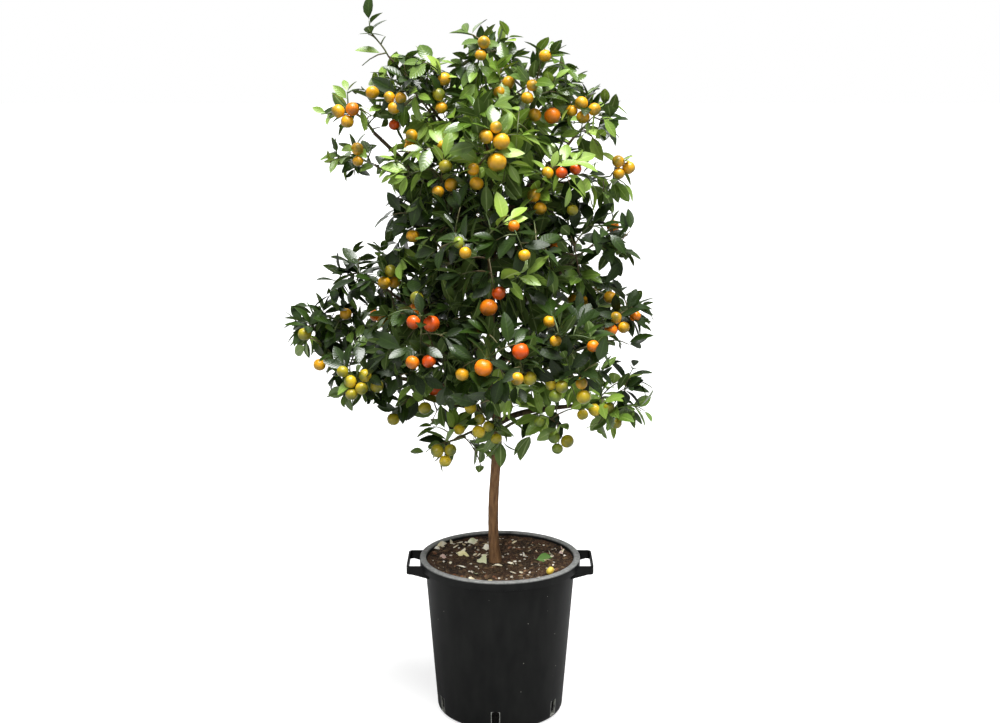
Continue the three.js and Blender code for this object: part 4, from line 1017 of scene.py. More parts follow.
class CALAMONDIN_OT_handles(bpy.types.Operator):
    """Makes the two strap handles, each with a web under its legs."""
    bl_idname = "calamondin.handles"
    bl_label = "Handles"

    def execute(self, context):
        plastic = bpy.data.materials["moulded_black_polypropylene"]
        web = [(GUSSET_ROOT, GUSSET_FOOT), (GUSSET_REACH, GUSSET_TOP), (GUSSET_ROOT, GUSSET_TOP)]
        parts = [raised(strap_outline(),
                        lambda x, y, level: (x, y, (HANDLE_FOOT, HANDLE_TOP)[level]))]
        for side in (-1, 1):
            outer = side * HANDLE_WIDTH / 2
            inner = outer - side * HANDLE_THICK
            parts.append(raised(web, lambda x, z, level: (x, (outer, inner)[level], z)))
        for name, turn in (("handle_left", math.pi), ("handle_right", 0.0)):
            points, faces = [], []
            spin = Matrix.Rotation(turn, 3, "Z")
            for part_points, part_faces in parts:
                first = len(points)
                points += [spin @ Vector(point) for point in part_points]
                faces += [[first + k for k in face] for face in part_faces]
            strap = mesh_object(name + "_strap", points, faces, [plastic])
            with opened(strap) as shape:
                bmesh.ops.recalc_face_normals(shape, faces=shape.faces)
                edges = [edge for edge in shape.edges
                         if edge.calc_face_angle(0) > HANDLE_SHARPEST]
                bmesh.ops.bevel(shape, geom=edges, offset=HANDLE_EDGE_ROUND, segments=2,
                                affect="EDGES")
            sharpen(strap, degrees=40)
            dress(strap, "pot_plastic", name)
        return {"FINISHED"}


# ---------------------------------------------------------------- the soil


def soil_height(x, y, relief):
    """Height of the soil's lumpy surface, lowest round the trunk."""
    out = math.hypot(x, y) / inner_radius(SOIL_EDGE)
    smooth = mix(SOIL_MIDDLE, SOIL_EDGE, out ** 4)
    coarse = noise.noise(Vector((x, y, 0)) * COARSE_LUMPS)
    fine = noise.noise(Vector((x, y, FINE_LUMP_LAYER)) * FINE_LUMPS)
    from_trunk = math.hypot(x - TRUNK_FOOT_X, y)
    lumpy = between((from_trunk - SMOOTH_ROUND_TRUNK) / LUMPS_RISE_OVER, 0, 1)
    return smooth + relief * (coarse + FINE_LUMP_SHARE * fine) * lumpy


class CALAMONDIN_OT_soil(bpy.types.Operator):
    """Makes the soil that fills the pot."""
    bl_idname = "calamondin.soil"
    bl_label = "Soil"

    def execute(self, context):
        relief = context.scene.calamondin_soil.relief
        rings, around = SOIL_RINGS, SOIL_AROUND
        points = [(0, 0, soil_height(0, 0, relief))]
        for i in range(1, rings + 1):
            radius = inner_radius(SOIL_EDGE) * i / rings
            for k in range(around):
                x = radius * math.cos(TAU * k / around)
                y = radius * math.sin(TAU * k / around)
                points.append((x, y, soil_height(x, y, relief)))
        foot = POT_FOOT_RADIUS - POT_FOOT_ROUND - POT_WALL - GAP
        for radius, height in ((inner_radius(POT_INSIDE_FOOT), POT_INSIDE_FOOT + GAP),
                               (foot, POT_FLOOR + GAP)):
            for k in range(around):
                angle = TAU * k / around
                points.append((radius * math.cos(angle), radius * math.sin(angle), height))
        faces = [(0, 1 + k, 1 + (k + 1) % around) for k in range(around)]
        for i in range(rings + 1):
            low = 1 + i * around
            for k in range(around):
                n = (k + 1) % around
                faces.append((low + k, low + around + k, low + around + n, low + n))
        bottom = 1 + (rings + 1) * around
        faces.append([bottom + k for k in reversed(range(around))])
        soil = mesh_object("potting_soil", points, faces, [potting_mix()])
        sharpen(soil, degrees=60)
        dress(soil, "potting_mix", "soil")
        return {"FINISHED"}


# ---------------------------------------------------------------- what lies on the soil


def scatter_tree():
    """Geometry nodes that scatter the shapes of a collection over a mesh."""
    tree = bpy.data.node_groups.new("scatter_on_soil", "GeometryNodeTree")
    sockets = {}
    for name, kind in (("Geometry", "NodeSocketGeometry"), ("Density", "NodeSocketFloat"),
                       ("Smallest", "NodeSocketFloat"), ("Largest", "NodeSocketFloat"),
                       ("Seed", "NodeSocketInt"), ("Shapes", "NodeSocketCollection"),
                       ("Finish", "NodeSocketMaterial")):
        sockets[name] = tree.interface.new_socket(name, in_out="INPUT", socket_type=kind)
    tree.interface.new_socket("Geometry", in_out="OUTPUT", socket_type="NodeSocketGeometry")
    given = add(tree, "NodeGroupInput")
    points = add(tree, "GeometryNodeDistributePointsOnFaces", {
        "Mesh": given["Geometry"], "Density": given["Density"], "Seed": given["Seed"]})
    shapes = add(tree, "GeometryNodeCollectionInfo", {
        "Collection": given["Shapes"], "Separate Children": True, "Reset Children": True})
    turn = add(tree, "FunctionNodeRandomValue", {
        0: (-0.5, -0.5, 0.0), 1: (0.5, 0.5, TAU), "Seed": given["Seed"]},
        data_type="FLOAT_VECTOR")
    size = add(tree, "FunctionNodeRandomValue", {
        2: given["Smallest"], 3: given["Largest"], "Seed": given["Seed"]}, data_type="FLOAT")
    placed = add(tree, "GeometryNodeInstanceOnPoints", {
        "Points": points["Points"], "Instance": shapes["Instances"], "Pick Instance": True,
        "Rotation": turn[0], "Scale": size[1]})
    real = add(tree, "GeometryNodeRealizeInstances", {"Geometry": placed["Instances"]})
    finished = add(tree, "GeometryNodeSetMaterial", {
        "Geometry": real["Geometry"], "Material": given["Finish"]})
    add(tree, "NodeGroupOutput", {"Geometry": finished["Geometry"]})
    return tree, {name: socket.identifier for name, socket in sockets.items()}


def bit_shapes(name, flat, long, random, count=4):
    """A collection of small lumps one unit across, flattened and drawn out."""
    shapes = bpy.data.collections.new(name)
    for i in range(count):
        lump = bmesh.new()
        bmesh.ops.create_icosphere(lump, subdivisions=1, radius=0.5)
        for point in lump.verts:
            point.co *= mix(0.72, 1.2, random())
            point.co.x *= long
            point.co.z *= flat
        mesh = bpy.data.meshes.new(f"{name}_{i}")
        lump.to_mesh(mesh)
        lump.free()
        shapes.objects.link(bpy.data.objects.new(mesh.name, mesh))
    return shapes


LITTER_EDGE = 0.160  # nothing loose lies farther out than this


def litter_ground(relief):
    """The patch of soil surface that loose bits lie on, as a mesh of its own."""
    rings, around = 12, 48
    points = []
    for i in range(rings + 1):
        radius = mix(0.018, LITTER_EDGE, i / rings)
        for k in range(around):
            x = TRUNK_FOOT_X * (1 - i / rings) + radius * math.cos(TAU * k / around)
            y = radius * math.sin(TAU * k / around)
            points.append((x, y, soil_height(x, y, relief)))
    faces = []
    for i in range(rings):
        for k in range(around):
            n = (k + 1) % around
            low = i * around
            faces.append((low + k, low + around + k, low + around + n, low + n))
    return points, faces


# Leaves and bits that fell on the soil, in mm: name, place across and deep, length, width, turn in
# degrees, tilt in degrees, finish.
FALLEN = [
    ("cream_a", -132, 92, 46, 19, 34, 38, "dry_leaf"),
    ("cream_b", -112, 112, 29, 17, 62, 32, "dry_leaf"),
    ("cream_c", -146, 70, 19, 11, 20, 28, "dry_leaf"),
    ("pale_a", -62, 120, 41, 20, 24, 34, "fading_leaf"),
    ("cream_d", -30, 82, 26, 20, 20, 44, "dry_leaf"),
    ("long", -86, 34, 48, 18, -48, 28, "yellowing_leaf"),
    ("fan", -42, -8, 34, 32, -70, 38, "fading_leaf"),
    ("curl_a", -2, -36, 29, 7, 14, 24, "dry_leaf"),
    ("curl_b", 24, -24, 19, 6, -24, 30, "dry_leaf"),
    ("stick", -84, -44, 32, 5, -12, 18, "dry_leaf"),
    ("white_bit", 58, 34, 23, 16, 60, 38, "dry_leaf"),
    ("pale_tip", 118, 42, 22, 17, 70, 40, "fading_leaf"),
    ("green", 106, 4, 55, 29, 16, 36, "green_leaf"),
    ("grey_bit", -55, -92, 18, 12, 100, 26, "fading_leaf"),
    ("white_chip", -36, -86, 13, 10, 80, 34, "dry_leaf"),
    ("pink_chip", -132, 18, 19, 12, -30, 32, "pink_stone"),
    ("pink_a", 146, 66, 16, 13, 60, 34, "pink_stone"),
    ("pink_b", 142, 38, 13, 11, 20, 26, "pink_stone"),
]
FALLEN_FOLD = 0.5
FALLEN_ARCH = 0.28
FALLEN_FRUIT = (0.112, -0.096)
FALLEN_FRUIT_RADIUS = 0.0098


class CALAMONDIN_OT_litter(bpy.types.Operator):
    """Scatters bark chips, grit and fallen leaves over the soil."""
    bl_idname = "calamondin.litter"
    bl_label = "Chips, stones and fallen leaves"

    def execute(self, context):
        settings = context.scene.calamondin_soil
        random = chance(settings.seed)
        tree, socket = scatter_tree()
        ground = litter_ground(settings.relief)
        kinds = [
            ("bark_chips", bit_shapes("chip_shapes", 0.35, 1.6, random), settings.chips,
             0.003, 0.012, chip("composted_bark_chip", "#2a2017", "#6d573f")),
            ("red_chips", bit_shapes("red_chip_shapes", 0.4, 1.5, random), settings.chips / 9,
             0.005, 0.013, chip("fresh_bark_chip", "#6b452f", "#96745a")),
            ("leaf_shreds", bit_shapes("shred_shapes", 0.2, 2.0, random), settings.grit / 2,
             0.006, 0.013, chip("dry_leaf_shred", "#cdbb8e", "#f4ebd2")),
            ("grit", bit_shapes("grit_shapes", 0.7, 1.15, random), settings.grit,
             0.0025, 0.0085, chip("pale_perlite_grit", "#b8ac99", "#f2ecde")),
        ]
        for i, (name, shapes, density, smallest, largest, look) in enumerate(kinds):
            piece = mesh_object(name, *ground, [look])
            scatter = piece.modifiers.new("scatter", "NODES")
            scatter.node_group = tree
            for key, value in (("Density", float(density)), ("Smallest", smallest),
                               ("Largest", largest), ("Seed", settings.seed + i),
                               ("Shapes", shapes), ("Finish", look)):
                scatter[socket[key]] = value
            apply_modifiers(piece)
            dress(piece, "potting_mix")
            for shape in list(shapes.objects):
                bpy.data.objects.remove(shape)
            bpy.data.collections.remove(shapes)
        bpy.data.node_groups.remove(tree)
        self.lay_fallen(settings.relief)
        return {"FINISHED"}

    def lay_fallen(self, relief):
        looks = {
            "dry_leaf": chip("dry_cream_leaf", "#eadfbd", "#fffbee", 2.5),
            "fading_leaf": chip("fading_green_leaf", "#d5d8b0", "#f3f3d8", 2.5),
            "yellowing_leaf": chip("yellowing_leaf", "#e0d8a0", "#f8f1c8", 2.5),
            "pink_stone": chip("pink_stone", "#b08f82", "#d8bfb4", 2.5),
            "green_leaf": waxy_leaf("fallen_green_leaf", "#5c8a38", "#8fae66"),
        }
        for name, across, deep, length, width, turn, tilt, look in FALLEN:
            x, y = MM * across, MM * deep
            at = Vector((x, y, soil_height(x, y, relief) + 0.0035))
            along = Vector((math.cos(math.radians(turn)), math.sin(math.radians(turn)), 0))
            raised_by = Matrix.Rotation(math.radians(tilt), 3, along)
            blades = Blades()
            blades.add(at - along * (MM * length / 2), along, raised_by @ UP,
                       MM * length, MM * width, FALLEN_FOLD, FALLEN_ARCH, 0, 0)
            dress(blades.piece("fallen_" + name, [looks[look]]), "foliage")
        x, y = FALLEN_FRUIT
        balls = Fruits()
        middle = Vector((x, y, soil_height(x, y, relief) + 0.85 * FALLEN_FRUIT_RADIUS))
        balls.add(middle, Vector((0.7, -0.2, -0.6)).normalized(), FALLEN_FRUIT_RADIUS, 0.86, 0)
        piece = balls.piece("fallen_fruit", [citrus_peel("overripe_peel", "#e6cd55", "#c9a844")])
        dress(piece, "foliage")


# ---------------------------------------------------------------- bark


class CALAMONDIN_OT_wood(bpy.types.Operator):
    """Makes the trunk and the boughs with the relief of their bark."""
    bl_idname = "calamondin.wood"
    bl_label = "Trunk and boughs"

    def execute(self, context):
        settings = context.scene.calamondin_wood
        limbs = grow_limbs()

        def relief(i, at, angle):
            ridge = noise.noise(Vector((math.cos(angle), math.sin(angle), at.z * 9)) * 1.6)
            lump = noise.noise(at * 90)
            scar = math.exp(-((at.z % settings.node_spacing) / 0.004 - 1) ** 2)
            return 1 + settings.relief * (0.8 * ridge + 0.5 * lump + 0.5 * scar)

        trunk = Tubes()
        trunk.add(trunk_rings(0.005), 24, relief)
        piece = mesh_object("trunk_bark", trunk.points, trunk.faces,
                            [citrus_bark("smooth_citrus_bark", "#543a24", "#7f5e3d", 2.6)])
        sharpen(piece, degrees=50)
        dress(piece, "trunk_bark", "trunk")
        boughs = Tubes()
        names = []
        for name, rings in limbs.items():
            if name != "trunk":
                boughs.add(rings, 12, relief)
                names.append("bough_" + name)
        piece = mesh_object("bough_bark", boughs.points, boughs.faces,
                            [citrus_bark("young_citrus_bark", "#34271b", "#56462f", 2.2)])
        sharpen(piece, degrees=50)
        dress(piece, "bough_bark", *names)
        return {"FINISHED"}


# ---------------------------------------------------------------- leaves and fruit as meshes

# Across the blade at each share of its length: half width as a share of the widest. The first
# stretch is the narrow leaf stalk.
BLADE_SECTIONS = ((0.10, 0.05), (0.20, 0.42), (0.37, 0.88), (0.56, 1.0), (0.75, 0.80),
                  (0.90, 0.42))
BLADE_THICK = 0.0006
BLADE_POINTS = 2 + 4 * len(BLADE_SECTIONS)


class Blades:
    """Leaf blades collected into one mesh: closed, with an upper side and an underside."""

    def __init__(self):
        self.points = []
        self.faces = []
        self.looks = []
        self.places = []  # across and along the leaf, for each corner of each face

    def add(self, root, along, facing, length, width, fold, arch, top, under):
        """Adds a blade. `fold` lifts its sides, `arch` sinks its tip, `top` and `under` are its
        material numbers."""
        first = len(self.points)
        beside = along.cross(facing)
        where = {}

        def place(share, side, lift, across):
            bend = -arch * length * share * share
            where[len(self.points)] = (across, share)
            self.points.append(root + along * (length * share * (1 - 0.25 * arch))
                               + beside * side + facing * (bend + lift))

        place(0, 0, 0, 0)
        for share, half in BLADE_SECTIONS:
            side = half * width / 2
            place(share, -side, fold * side, -1)
            place(share, 0, 0, 0)
            place(share, side, fold * side, 1)
            place(share, 0, -BLADE_THICK, 0)
        place(1, 0, 0, 0)
        root_i, tip_i = first, first + BLADE_POINTS - 1
        rows = [[first + 1 + 4 * i + k for k in range(4)] for i in range(len(BLADE_SECTIONS))]
        low, high = rows[0], rows[-1]
        upper = [(root_i, low[1], low[0]), (root_i, low[2], low[1]),
                 (tip_i, high[0], high[1]), (tip_i, high[1], high[2])]
        lower = [(root_i, low[0], low[3]), (root_i, low[3], low[2]),
                 (tip_i, high[3], high[0]), (tip_i, high[2], high[3])]
        for a, b in zip(rows, rows[1:]):
            upper += [(a[0], a[1], b[1], b[0]), (a[1], a[2], b[2], b[1])]
            lower += [(a[3], a[0], b[0], b[3]), (a[2], a[3], b[3], b[2])]
        for faces, look in ((upper, top), (lower, under)):
            for face in faces:
                self.faces.append(face)
                self.looks.append(look)
                self.places += [where[corner] for corner in face]

    def piece(self, name, materials):
        made = mesh_object(name, self.points, self.faces, materials)
        mesh = made.data
        mesh.polygons.foreach_set("material_index", self.looks)
        layer = mesh.uv_layers.new(name="leaf")
        layer.data.foreach_set("uv", [value for place in self.places for value in place])
        # the rim of a blade, between its upper side and its underside, is an edge
        sharp = mesh.attributes.new("sharp_edge", "BOOLEAN", "EDGE")
        rim = (1, 3)
        flags = []
        for edge in mesh.edges:
            kinds = []
            for i in edge.vertices:
                k = i % BLADE_POINTS
                end = k in (0, BLADE_POINTS - 1)
                kinds.append("end" if end else ("rim" if (k - 1) % 4 + 1 in rim else "rib"))
            flags.append("rib" not in kinds)
        sharp.data.foreach_set("value", flags)
        mesh.update()
        return made


FRUIT_SIDES = 14
FRUIT_ROWS = 9
CALYX_RADIUS = 0.0030


class Fruits:
    """Small oranges collected into one mesh, each with a dimple at both ends."""

    def __init__(self):
        self.points = []
        self.faces = []
        self.looks = []
        self.places = []

    def add(self, middle, axis, radius, flatness, look):
        """Adds a fruit. `axis` runs from its stalk to its eye."""
        across = axis.orthogonal().normalized()
        beside = axis.cross(across)
        rows = []
        for i in range(FRUIT_ROWS + 1):
            turn = math.pi * i / FRUIT_ROWS
            out = radius * math.sin(turn)
            down = -radius * flatness * math.cos(turn)
            dimple = 0.16 * radius * math.exp(-((out / (0.26 * radius)) ** 2))
            down += dimple if i * 2 < FRUIT_ROWS else -0.5 * dimple
            if i in (0, FRUIT_ROWS):
                rows.append([len(self.points)] * FRUIT_SIDES)
                self.points.append(middle + axis * down)
                continue
            rows.append([len(self.points) + k for k in range(FRUIT_SIDES)])
            for k in range(FRUIT_SIDES):
                angle = TAU * k / FRUIT_SIDES
                away = round_about(across, beside, angle)
                self.points.append(middle + away * out + axis * down)
        for i, (low, high) in enumerate(zip(rows, rows[1:])):
            for k in range(FRUIT_SIDES):
                n = (k + 1) % FRUIT_SIDES
                corners = [(low[k], k, i), (high[k], k, i + 1), (high[n], k + 1, i + 1),
                           (low[n], k + 1, i)]
                if i == 0:
                    corners = corners[:3]
                if i == FRUIT_ROWS - 1:
                    corners = [corners[0], corners[1], corners[3]]
                self.faces.append([corner for corner, _, _ in corners])
                self.looks.append(look)
                self.places += [(u / FRUIT_SIDES, v / FRUIT_ROWS) for _, u, v in corners]

    def piece(self, name, materials):
        made = mesh_object(name, self.points, self.faces, materials)
        mesh = made.data
        mesh.polygons.foreach_set("material_index", self.looks)
        layer = mesh.uv_layers.new(name="peel")
        layer.data.foreach_set("uv", [value for place in self.places for value in place])
        mesh.update()
        return made


# ---------------------------------------------------------------- growing the crown

SHORTEST_TWIG = 0.018
STARTS_TRIED = 6
NEAR_PARENT = 0.3
STEM_JOINTS = (0.15, 0.3, 0.5, 0.7, 0.85, 1.0)
JOINTS_WITHIN = 0.95
TWIG_JOINTS = (0.35, 0.6, 0.85)
TWIG_RADIUS = 0.0019
TWIG_TIP_RADIUS = 0.0010
TWIG_FOOT = 0.012
TWIG_RISE = 0.14  # how far a twig bows upwards, as a share of its length
USUAL_MASS = 0.1 * 0.1 * 0.09  # its three reaches multiplied
SHOOTS_BY_VOLUME = 0.6  # the power of its volume with which a mass's shoots rise
CANDIDATES = 24
FARTHEST = 1.6
SPRAY_DEPTH = (0.012, 0.052)
LIMB_MARGIN = 0.003
LEAF_GAP = 0.0075  # least distance between the ribs of neighbouring leaves
LEAF_TRIES = 4
LEAF_OUTWARD = 0.6  # how much a blade faces out of its mass, next to how much it faces up
LEAF_TURN = 0.75  # how much chance turns a blade about its own length
INNER_PAINTED_SHADE_SPRAY = 0.72  # a spray that ends less far out than this share of its mass's reach is dark: painted shade
INNER_PAINTED_SHADE_HEART = 0.7
# the share of each green among the outer sprays of a zone; the rest are deep. The shares paint
# light and shade: paler greens in the top and at the low right, darker ones in the middle
SPRAY_LOOKS = {
    "top": (("fresh", 0.14), ("light", 0.50), ("mid", 0.28)),
    "middle": (("fresh", 0.02), ("light", 0.05), ("mid", 0.12), ("inner", 0.28)),
    "low": (("fresh", 0.02), ("light", 0.26), ("mid", 0.44)),
    "low_right": (("fresh", 0.02), ("light", 0.40), ("mid", 0.44)),
}
LOW_ZONE_TOP = 0.80
PAINTED_LIGHT_SIDE = 0.12  # low sprays farther right than this are paler: painted light from the right
BARE_FILL = 0.2  # below this, shoots end in a single leaf
BEHIND_FRUIT = 0.130  # how far in front of a fruit leaves leave the view of it open
OPEN_SHARE = 0.8  # how many of the leaves in front of a fruit are left out
BOX_SLACK = 0.006
LARGE_FRUIT = 1.32


class Crown:
    """Grows every mass and keeps what grew: twigs, leaves and fruit, by tier."""

    def __init__(self, leaf, fruit):
        self.leaf = leaf
        self.fruit = fruit
        self.limbs = grow_limbs()
        self.stems = {arm.name: stem_rings(arm, self.limbs) for arm in arms}
        self.heart = (MM * Vector(HEART[0]), MM * Vector(HEART[1]))
        rings = [ring for limb in self.limbs.values() for ring in limb]
        self.limb_radii = [ring.radius for ring in rings]
        self.near_limb = kdtree.KDTree(len(rings))
        for i, ring in enumerate(rings):
            self.near_limb.insert(ring.at, i)
        self.near_limb.balance()
        self.rib_cells = {}
        self.fruit_balls = []
        self.tiers = {}
        low, high = (Vector(corner) for corner in CAD_BOX)
        slack = Vector((BOX_SLACK,) * 3)
        self.box = (low - slack, high + slack)
        for i, arm in enumerate(arms):
            self.grow_fruit(arm, chance(3001 + 37 * i))
        for i, arm in enumerate(arms):
            self.grow_mass(arm, chance(101 + 37 * i))

    def tier(self, arm):
        name = tier_name(arm.middle.z)
        if name not in self.tiers:
            self.tiers[name] = {"twigs": Tubes(), "leaves": Blades(), "fruit": Fruits(),
                                "arms": []}
        tier = self.tiers[name]
        if arm.name not in tier["arms"]:
            tier["arms"].append(arm.name)
        return tier

    def in_space(self, arm, point):
        """Whether a point lies in the arm's own space, clear of every other arm's."""
        own = spread(arm.middle, arm.reach, point)
        if own > 1 + OUTLINE_SLACK and spread(*self.heart, point) > 1:
            return False
        return all(other is arm
                   or own + SPACE_MARGIN < spread(other.middle, other.reach, point)
                   for other in arms)

    def in_reach(self, arm, point):
        """Whether a leaf's point lies within the crown's outline and the packed box."""
        low, high = self.box
        if not all(low[k] < point[k] < high[k] for k in range(3)):
            return False
        own = spread(arm.middle, arm.reach, point)
        return own < 1.16 or spread(*self.heart, point) < 1

    def clear(self, point):
        """Whether a point is clear of the nearest limb."""
        _, i, distance = self.near_limb.find(point)
        return distance > self.limb_radii[i] + LIMB_MARGIN

    def cells(self, point):
        size = LEAF_GAP
        x, y, z = (int(math.floor(value / size)) for value in point)
        for i in (-1, 0, 1):
            for j in (-1, 0, 1):
                for k in (-1, 0, 1):
                    yield (x + i, y + j, z + k)

    def free_of_leaves(self, point):
        for cell in self.cells(point):
            for other in self.rib_cells.get(cell, ()):
                if (other - point).length < LEAF_GAP:
                    return False
        return True

    def keep_rib(self, points):
        for point in points:
            cell = tuple(int(math.floor(value / LEAF_GAP)) for value in point)
            self.rib_cells.setdefault(cell, []).append(point)

    def hides_fruit(self, points, random):
        """Whether a leaf touches a fruit, or stands in front of one that shows."""
        for middle, radius, outward in self.fruit_balls:
            for point in points:
                away = point - middle
                if away.length < radius + 0.001:
                    return True
                ahead = away.dot(outward)
                aside = (away - outward * ahead).length
                if 0 < ahead < BEHIND_FRUIT and aside < radius * 0.95 and random() < OPEN_SHARE:
                    return True
        return False

    def twig_start(self, arm, end):
        """The nearest of the arm's wood from which the way to the end is clear."""
        near = sorted(arm.wood, key=lambda point: (point - end).length)[:STARTS_TRIED]
        for start in near:
            span = (end - start).length
            if span < SHORTEST_TWIG:
                continue
            shares = [mix(NEAR_PARENT, 1, i / 4) for i in range(5)]
            if all(self.clear(start.lerp(end, share)) for share in shares):
                return start
        return None

    def grow_twig(self, arm, start, end, foot_radius=TWIG_RADIUS):
        """A bowed twig, and where points of it lie: a function of the share along it."""
        span = (end - start).length
        leaving = start.lerp(end, 0.35) + UP * (TWIG_RISE * span)
        arriving = start.lerp(end, 0.7) + UP * (0.8 * TWIG_RISE * span)
        count = max(3, round(span / 0.018))
        rings = [
            Ring(bezier(start, leaving, arriving, end, i / count),
                 mix(foot_radius, TWIG_TIP_RADIUS, i / count))
            for i in range(count + 1)
        ]
        self.tier(arm)["twigs"].add(rings, 5)
        arm.wood += [bezier(start, leaving, arriving, end, share) for share in TWIG_JOINTS]
        return lambda share: bezier(start, leaving, arriving, end, share)

    def grow_leaf(self, arm, root, wanted, loose, random, top, size=1.0):
        """Tries to grow a leaf from a place on a twig, in several directions and then smaller."""
        skyward = (root - arm.middle).normalized() * LEAF_OUTWARD + UP
        for k in range(LEAF_TRIES):
            along = (wanted + any_direction(random) * loose).normalized()
            facing = square_to(along, skyward + any_direction(random) * LEAF_TURN)
            scale = size * mix(0.74, 1.06, random()) * (1 - 0.08 * k) * mix(0.6, 1, arm.leaf)
            length = scale * self.leaf.length
            arch = mix(0.06, 0.34, random())
            ribs = [root + along * (length * share) - facing * (arch * length * share * share)
                    for share in (0.35, 0.6, 0.85, 1.0)]
            if not self.in_reach(arm, ribs[-1]) or not self.in_reach(arm, ribs[1]):
                continue
            if not all(self.clear(rib) for rib in ribs):
                continue
            if not all(self.free_of_leaves(rib) for rib in ribs):
                continue
            if self.hides_fruit(ribs[1:], random):
                continue
            self.keep_rib(ribs)
            width = scale * self.leaf.width * mix(0.86, 1.12, random())
            pale = top in (LEAF_LOOKS["light"], LEAF_LOOKS["fresh"])
            under = LEAF_LOOKS["pale_under" if pale else "under"]
            self.tier(arm)["leaves"].add(root, along, facing, length, width,
                                         mix(0.08, 0.42, random()), arch, top, under)
            return True
        return False

    def spray_look(self, arm, end, random):
        """Which green a spray has: fresh ones at the tips, dark ones deep inside as painted shade.
        """
        outer = spread(arm.middle, arm.reach, end)
        draw = random()
        # the zone sets painted light and shade: the top is paler, the middle darker, the low right
        # paler
        if end.z > LOWEST_TOP_TIER:
            zone, inside = "top", "mid"
        elif end.z > LOW_ZONE_TOP:
            zone, inside = "middle", "inner"
        else:
            zone, inside = ("low_right" if end.x > PAINTED_LIGHT_SIDE else "low"), "inner"
        # sprays deep in their mass or in the crown's heart are painted dark as shade, less dark in
        # the top
        if outer < INNER_PAINTED_SHADE_SPRAY or spread(*self.heart, end) < INNER_PAINTED_SHADE_HEART:
            return LEAF_LOOKS[inside if draw < 0.6 else "deep"]
        for look, share in SPRAY_LOOKS[zone]:
            draw -= share
            if draw < 0:
                return LEAF_LOOKS[look]
        return LEAF_LOOKS["deep"]

    def leafy_shoot(self, arm, end, random, heading=None):
        """A twig with alternate leaves along it and a whorl of leaves at its end."""
        start = self.twig_start(arm, end)
        if start is None:
            return False
        span = (end - start).length
        at = self.grow_twig(arm, start, end)
        along = (end - start).normalized()
        outward = (end - arm.middle).normalized()
        look = self.spray_look(arm, end, random)
        angle = TAU * random()
        across = along.orthogonal().normalized()
        beside = along.cross(across)
        step = self.leaf.internode / math.sqrt(arm.fill)
        place = max(TWIG_FOOT, span - 7 * step)
        while place < span - 0.004:
            away = round_about(across, beside, angle)
            wanted = away * 0.85 + along * 0.5 + outward * 0.2 - UP * 0.08
            self.grow_leaf(arm, at(place / span), wanted.normalized(), 0.3, random, look)
            angle += GOLDEN_ANGLE
            place += step
        ends = 3 if heading is None and arm.fill > 0.5 else 2
        if arm.fill < BARE_FILL:
            ends = 0
        for k in range(ends):
            away = round_about(across, beside, angle + TAU * k / ends)
            wanted = (away * 0.62 + along * 0.8 + outward * 0.25).normalized()
            self.grow_leaf(arm, end, wanted, 0.25, random, look, 0.92)
        onward = heading or (along + outward * 0.5).normalized()
        self.grow_leaf(arm, end, onward, 0.05 if heading else 0.3, random, look)
        return True

    def grow_fruit(self, arm, random):
        """Hangs the arm's clusters, each fruit on its own short stalk from the cluster's twig."""
        arm.clusters = []
        for place, ripeness in arm.fruit:
            outward = square_to(UP, place - arm.middle)
            seen = FRONT if (place - arm.middle).y < 0 else outward
            spin = TAU * random()
            beside = outward.cross(UP)
            several = len(ripeness) > 1
            for k, letter in enumerate(ripeness):
                radius = self.fruit.diameter / 2 * mix(0.88, 1.1, random())
                if letter.isupper():
                    radius *= LARGE_FRUIT
                angle = spin + TAU * k / len(ripeness)
                away = beside * math.cos(angle) + UP * (0.9 * math.sin(angle))
                middle = place + away * (1.16 * radius if several else 0.0)
                middle += outward * (radius * mix(0.0, 0.5, random())) - UP * (0.3 * radius)
                stalk = (middle - place).normalized() if several else -UP
                axis = (stalk - UP * 0.8 + outward * 0.5 + any_direction(random) * 0.35)
                axis.normalize()
                for other, other_radius, _ in self.fruit_balls:
                    gap = (middle - other).length - radius - other_radius
                    if gap < 0:
                        middle -= (other - middle).normalized() * (-gap)
                self.fruit_balls.append((middle, radius, seen))
                arm.clusters.append((place, middle, axis, radius, letter.lower()))

    def hang_fruit(self, arm, random):
        tier = self.tier(arm)
        for place, middle, axis, radius, letter in arm.clusters:
            start = middle - axis * (0.86 * radius)
            root = place + UP * 0.010
            bend = start - axis * 0.006
            stalk = [Ring(bezier(root, root - UP * 0.001, bend, start, i / 3), 0.0011)
                     for i in range(4)]
            # the calyx is a small green button on the fruit's stalk end
            stalk += [Ring(start + axis * 0.0002, CALYX_RADIUS),
                      Ring(start + axis * 0.0012, 0.7 * CALYX_RADIUS)]
            tier["twigs"].add(stalk, 5)
            tier["fruit"].add(middle, axis, radius, self.fruit.flatness, PEEL_LOOKS[letter])

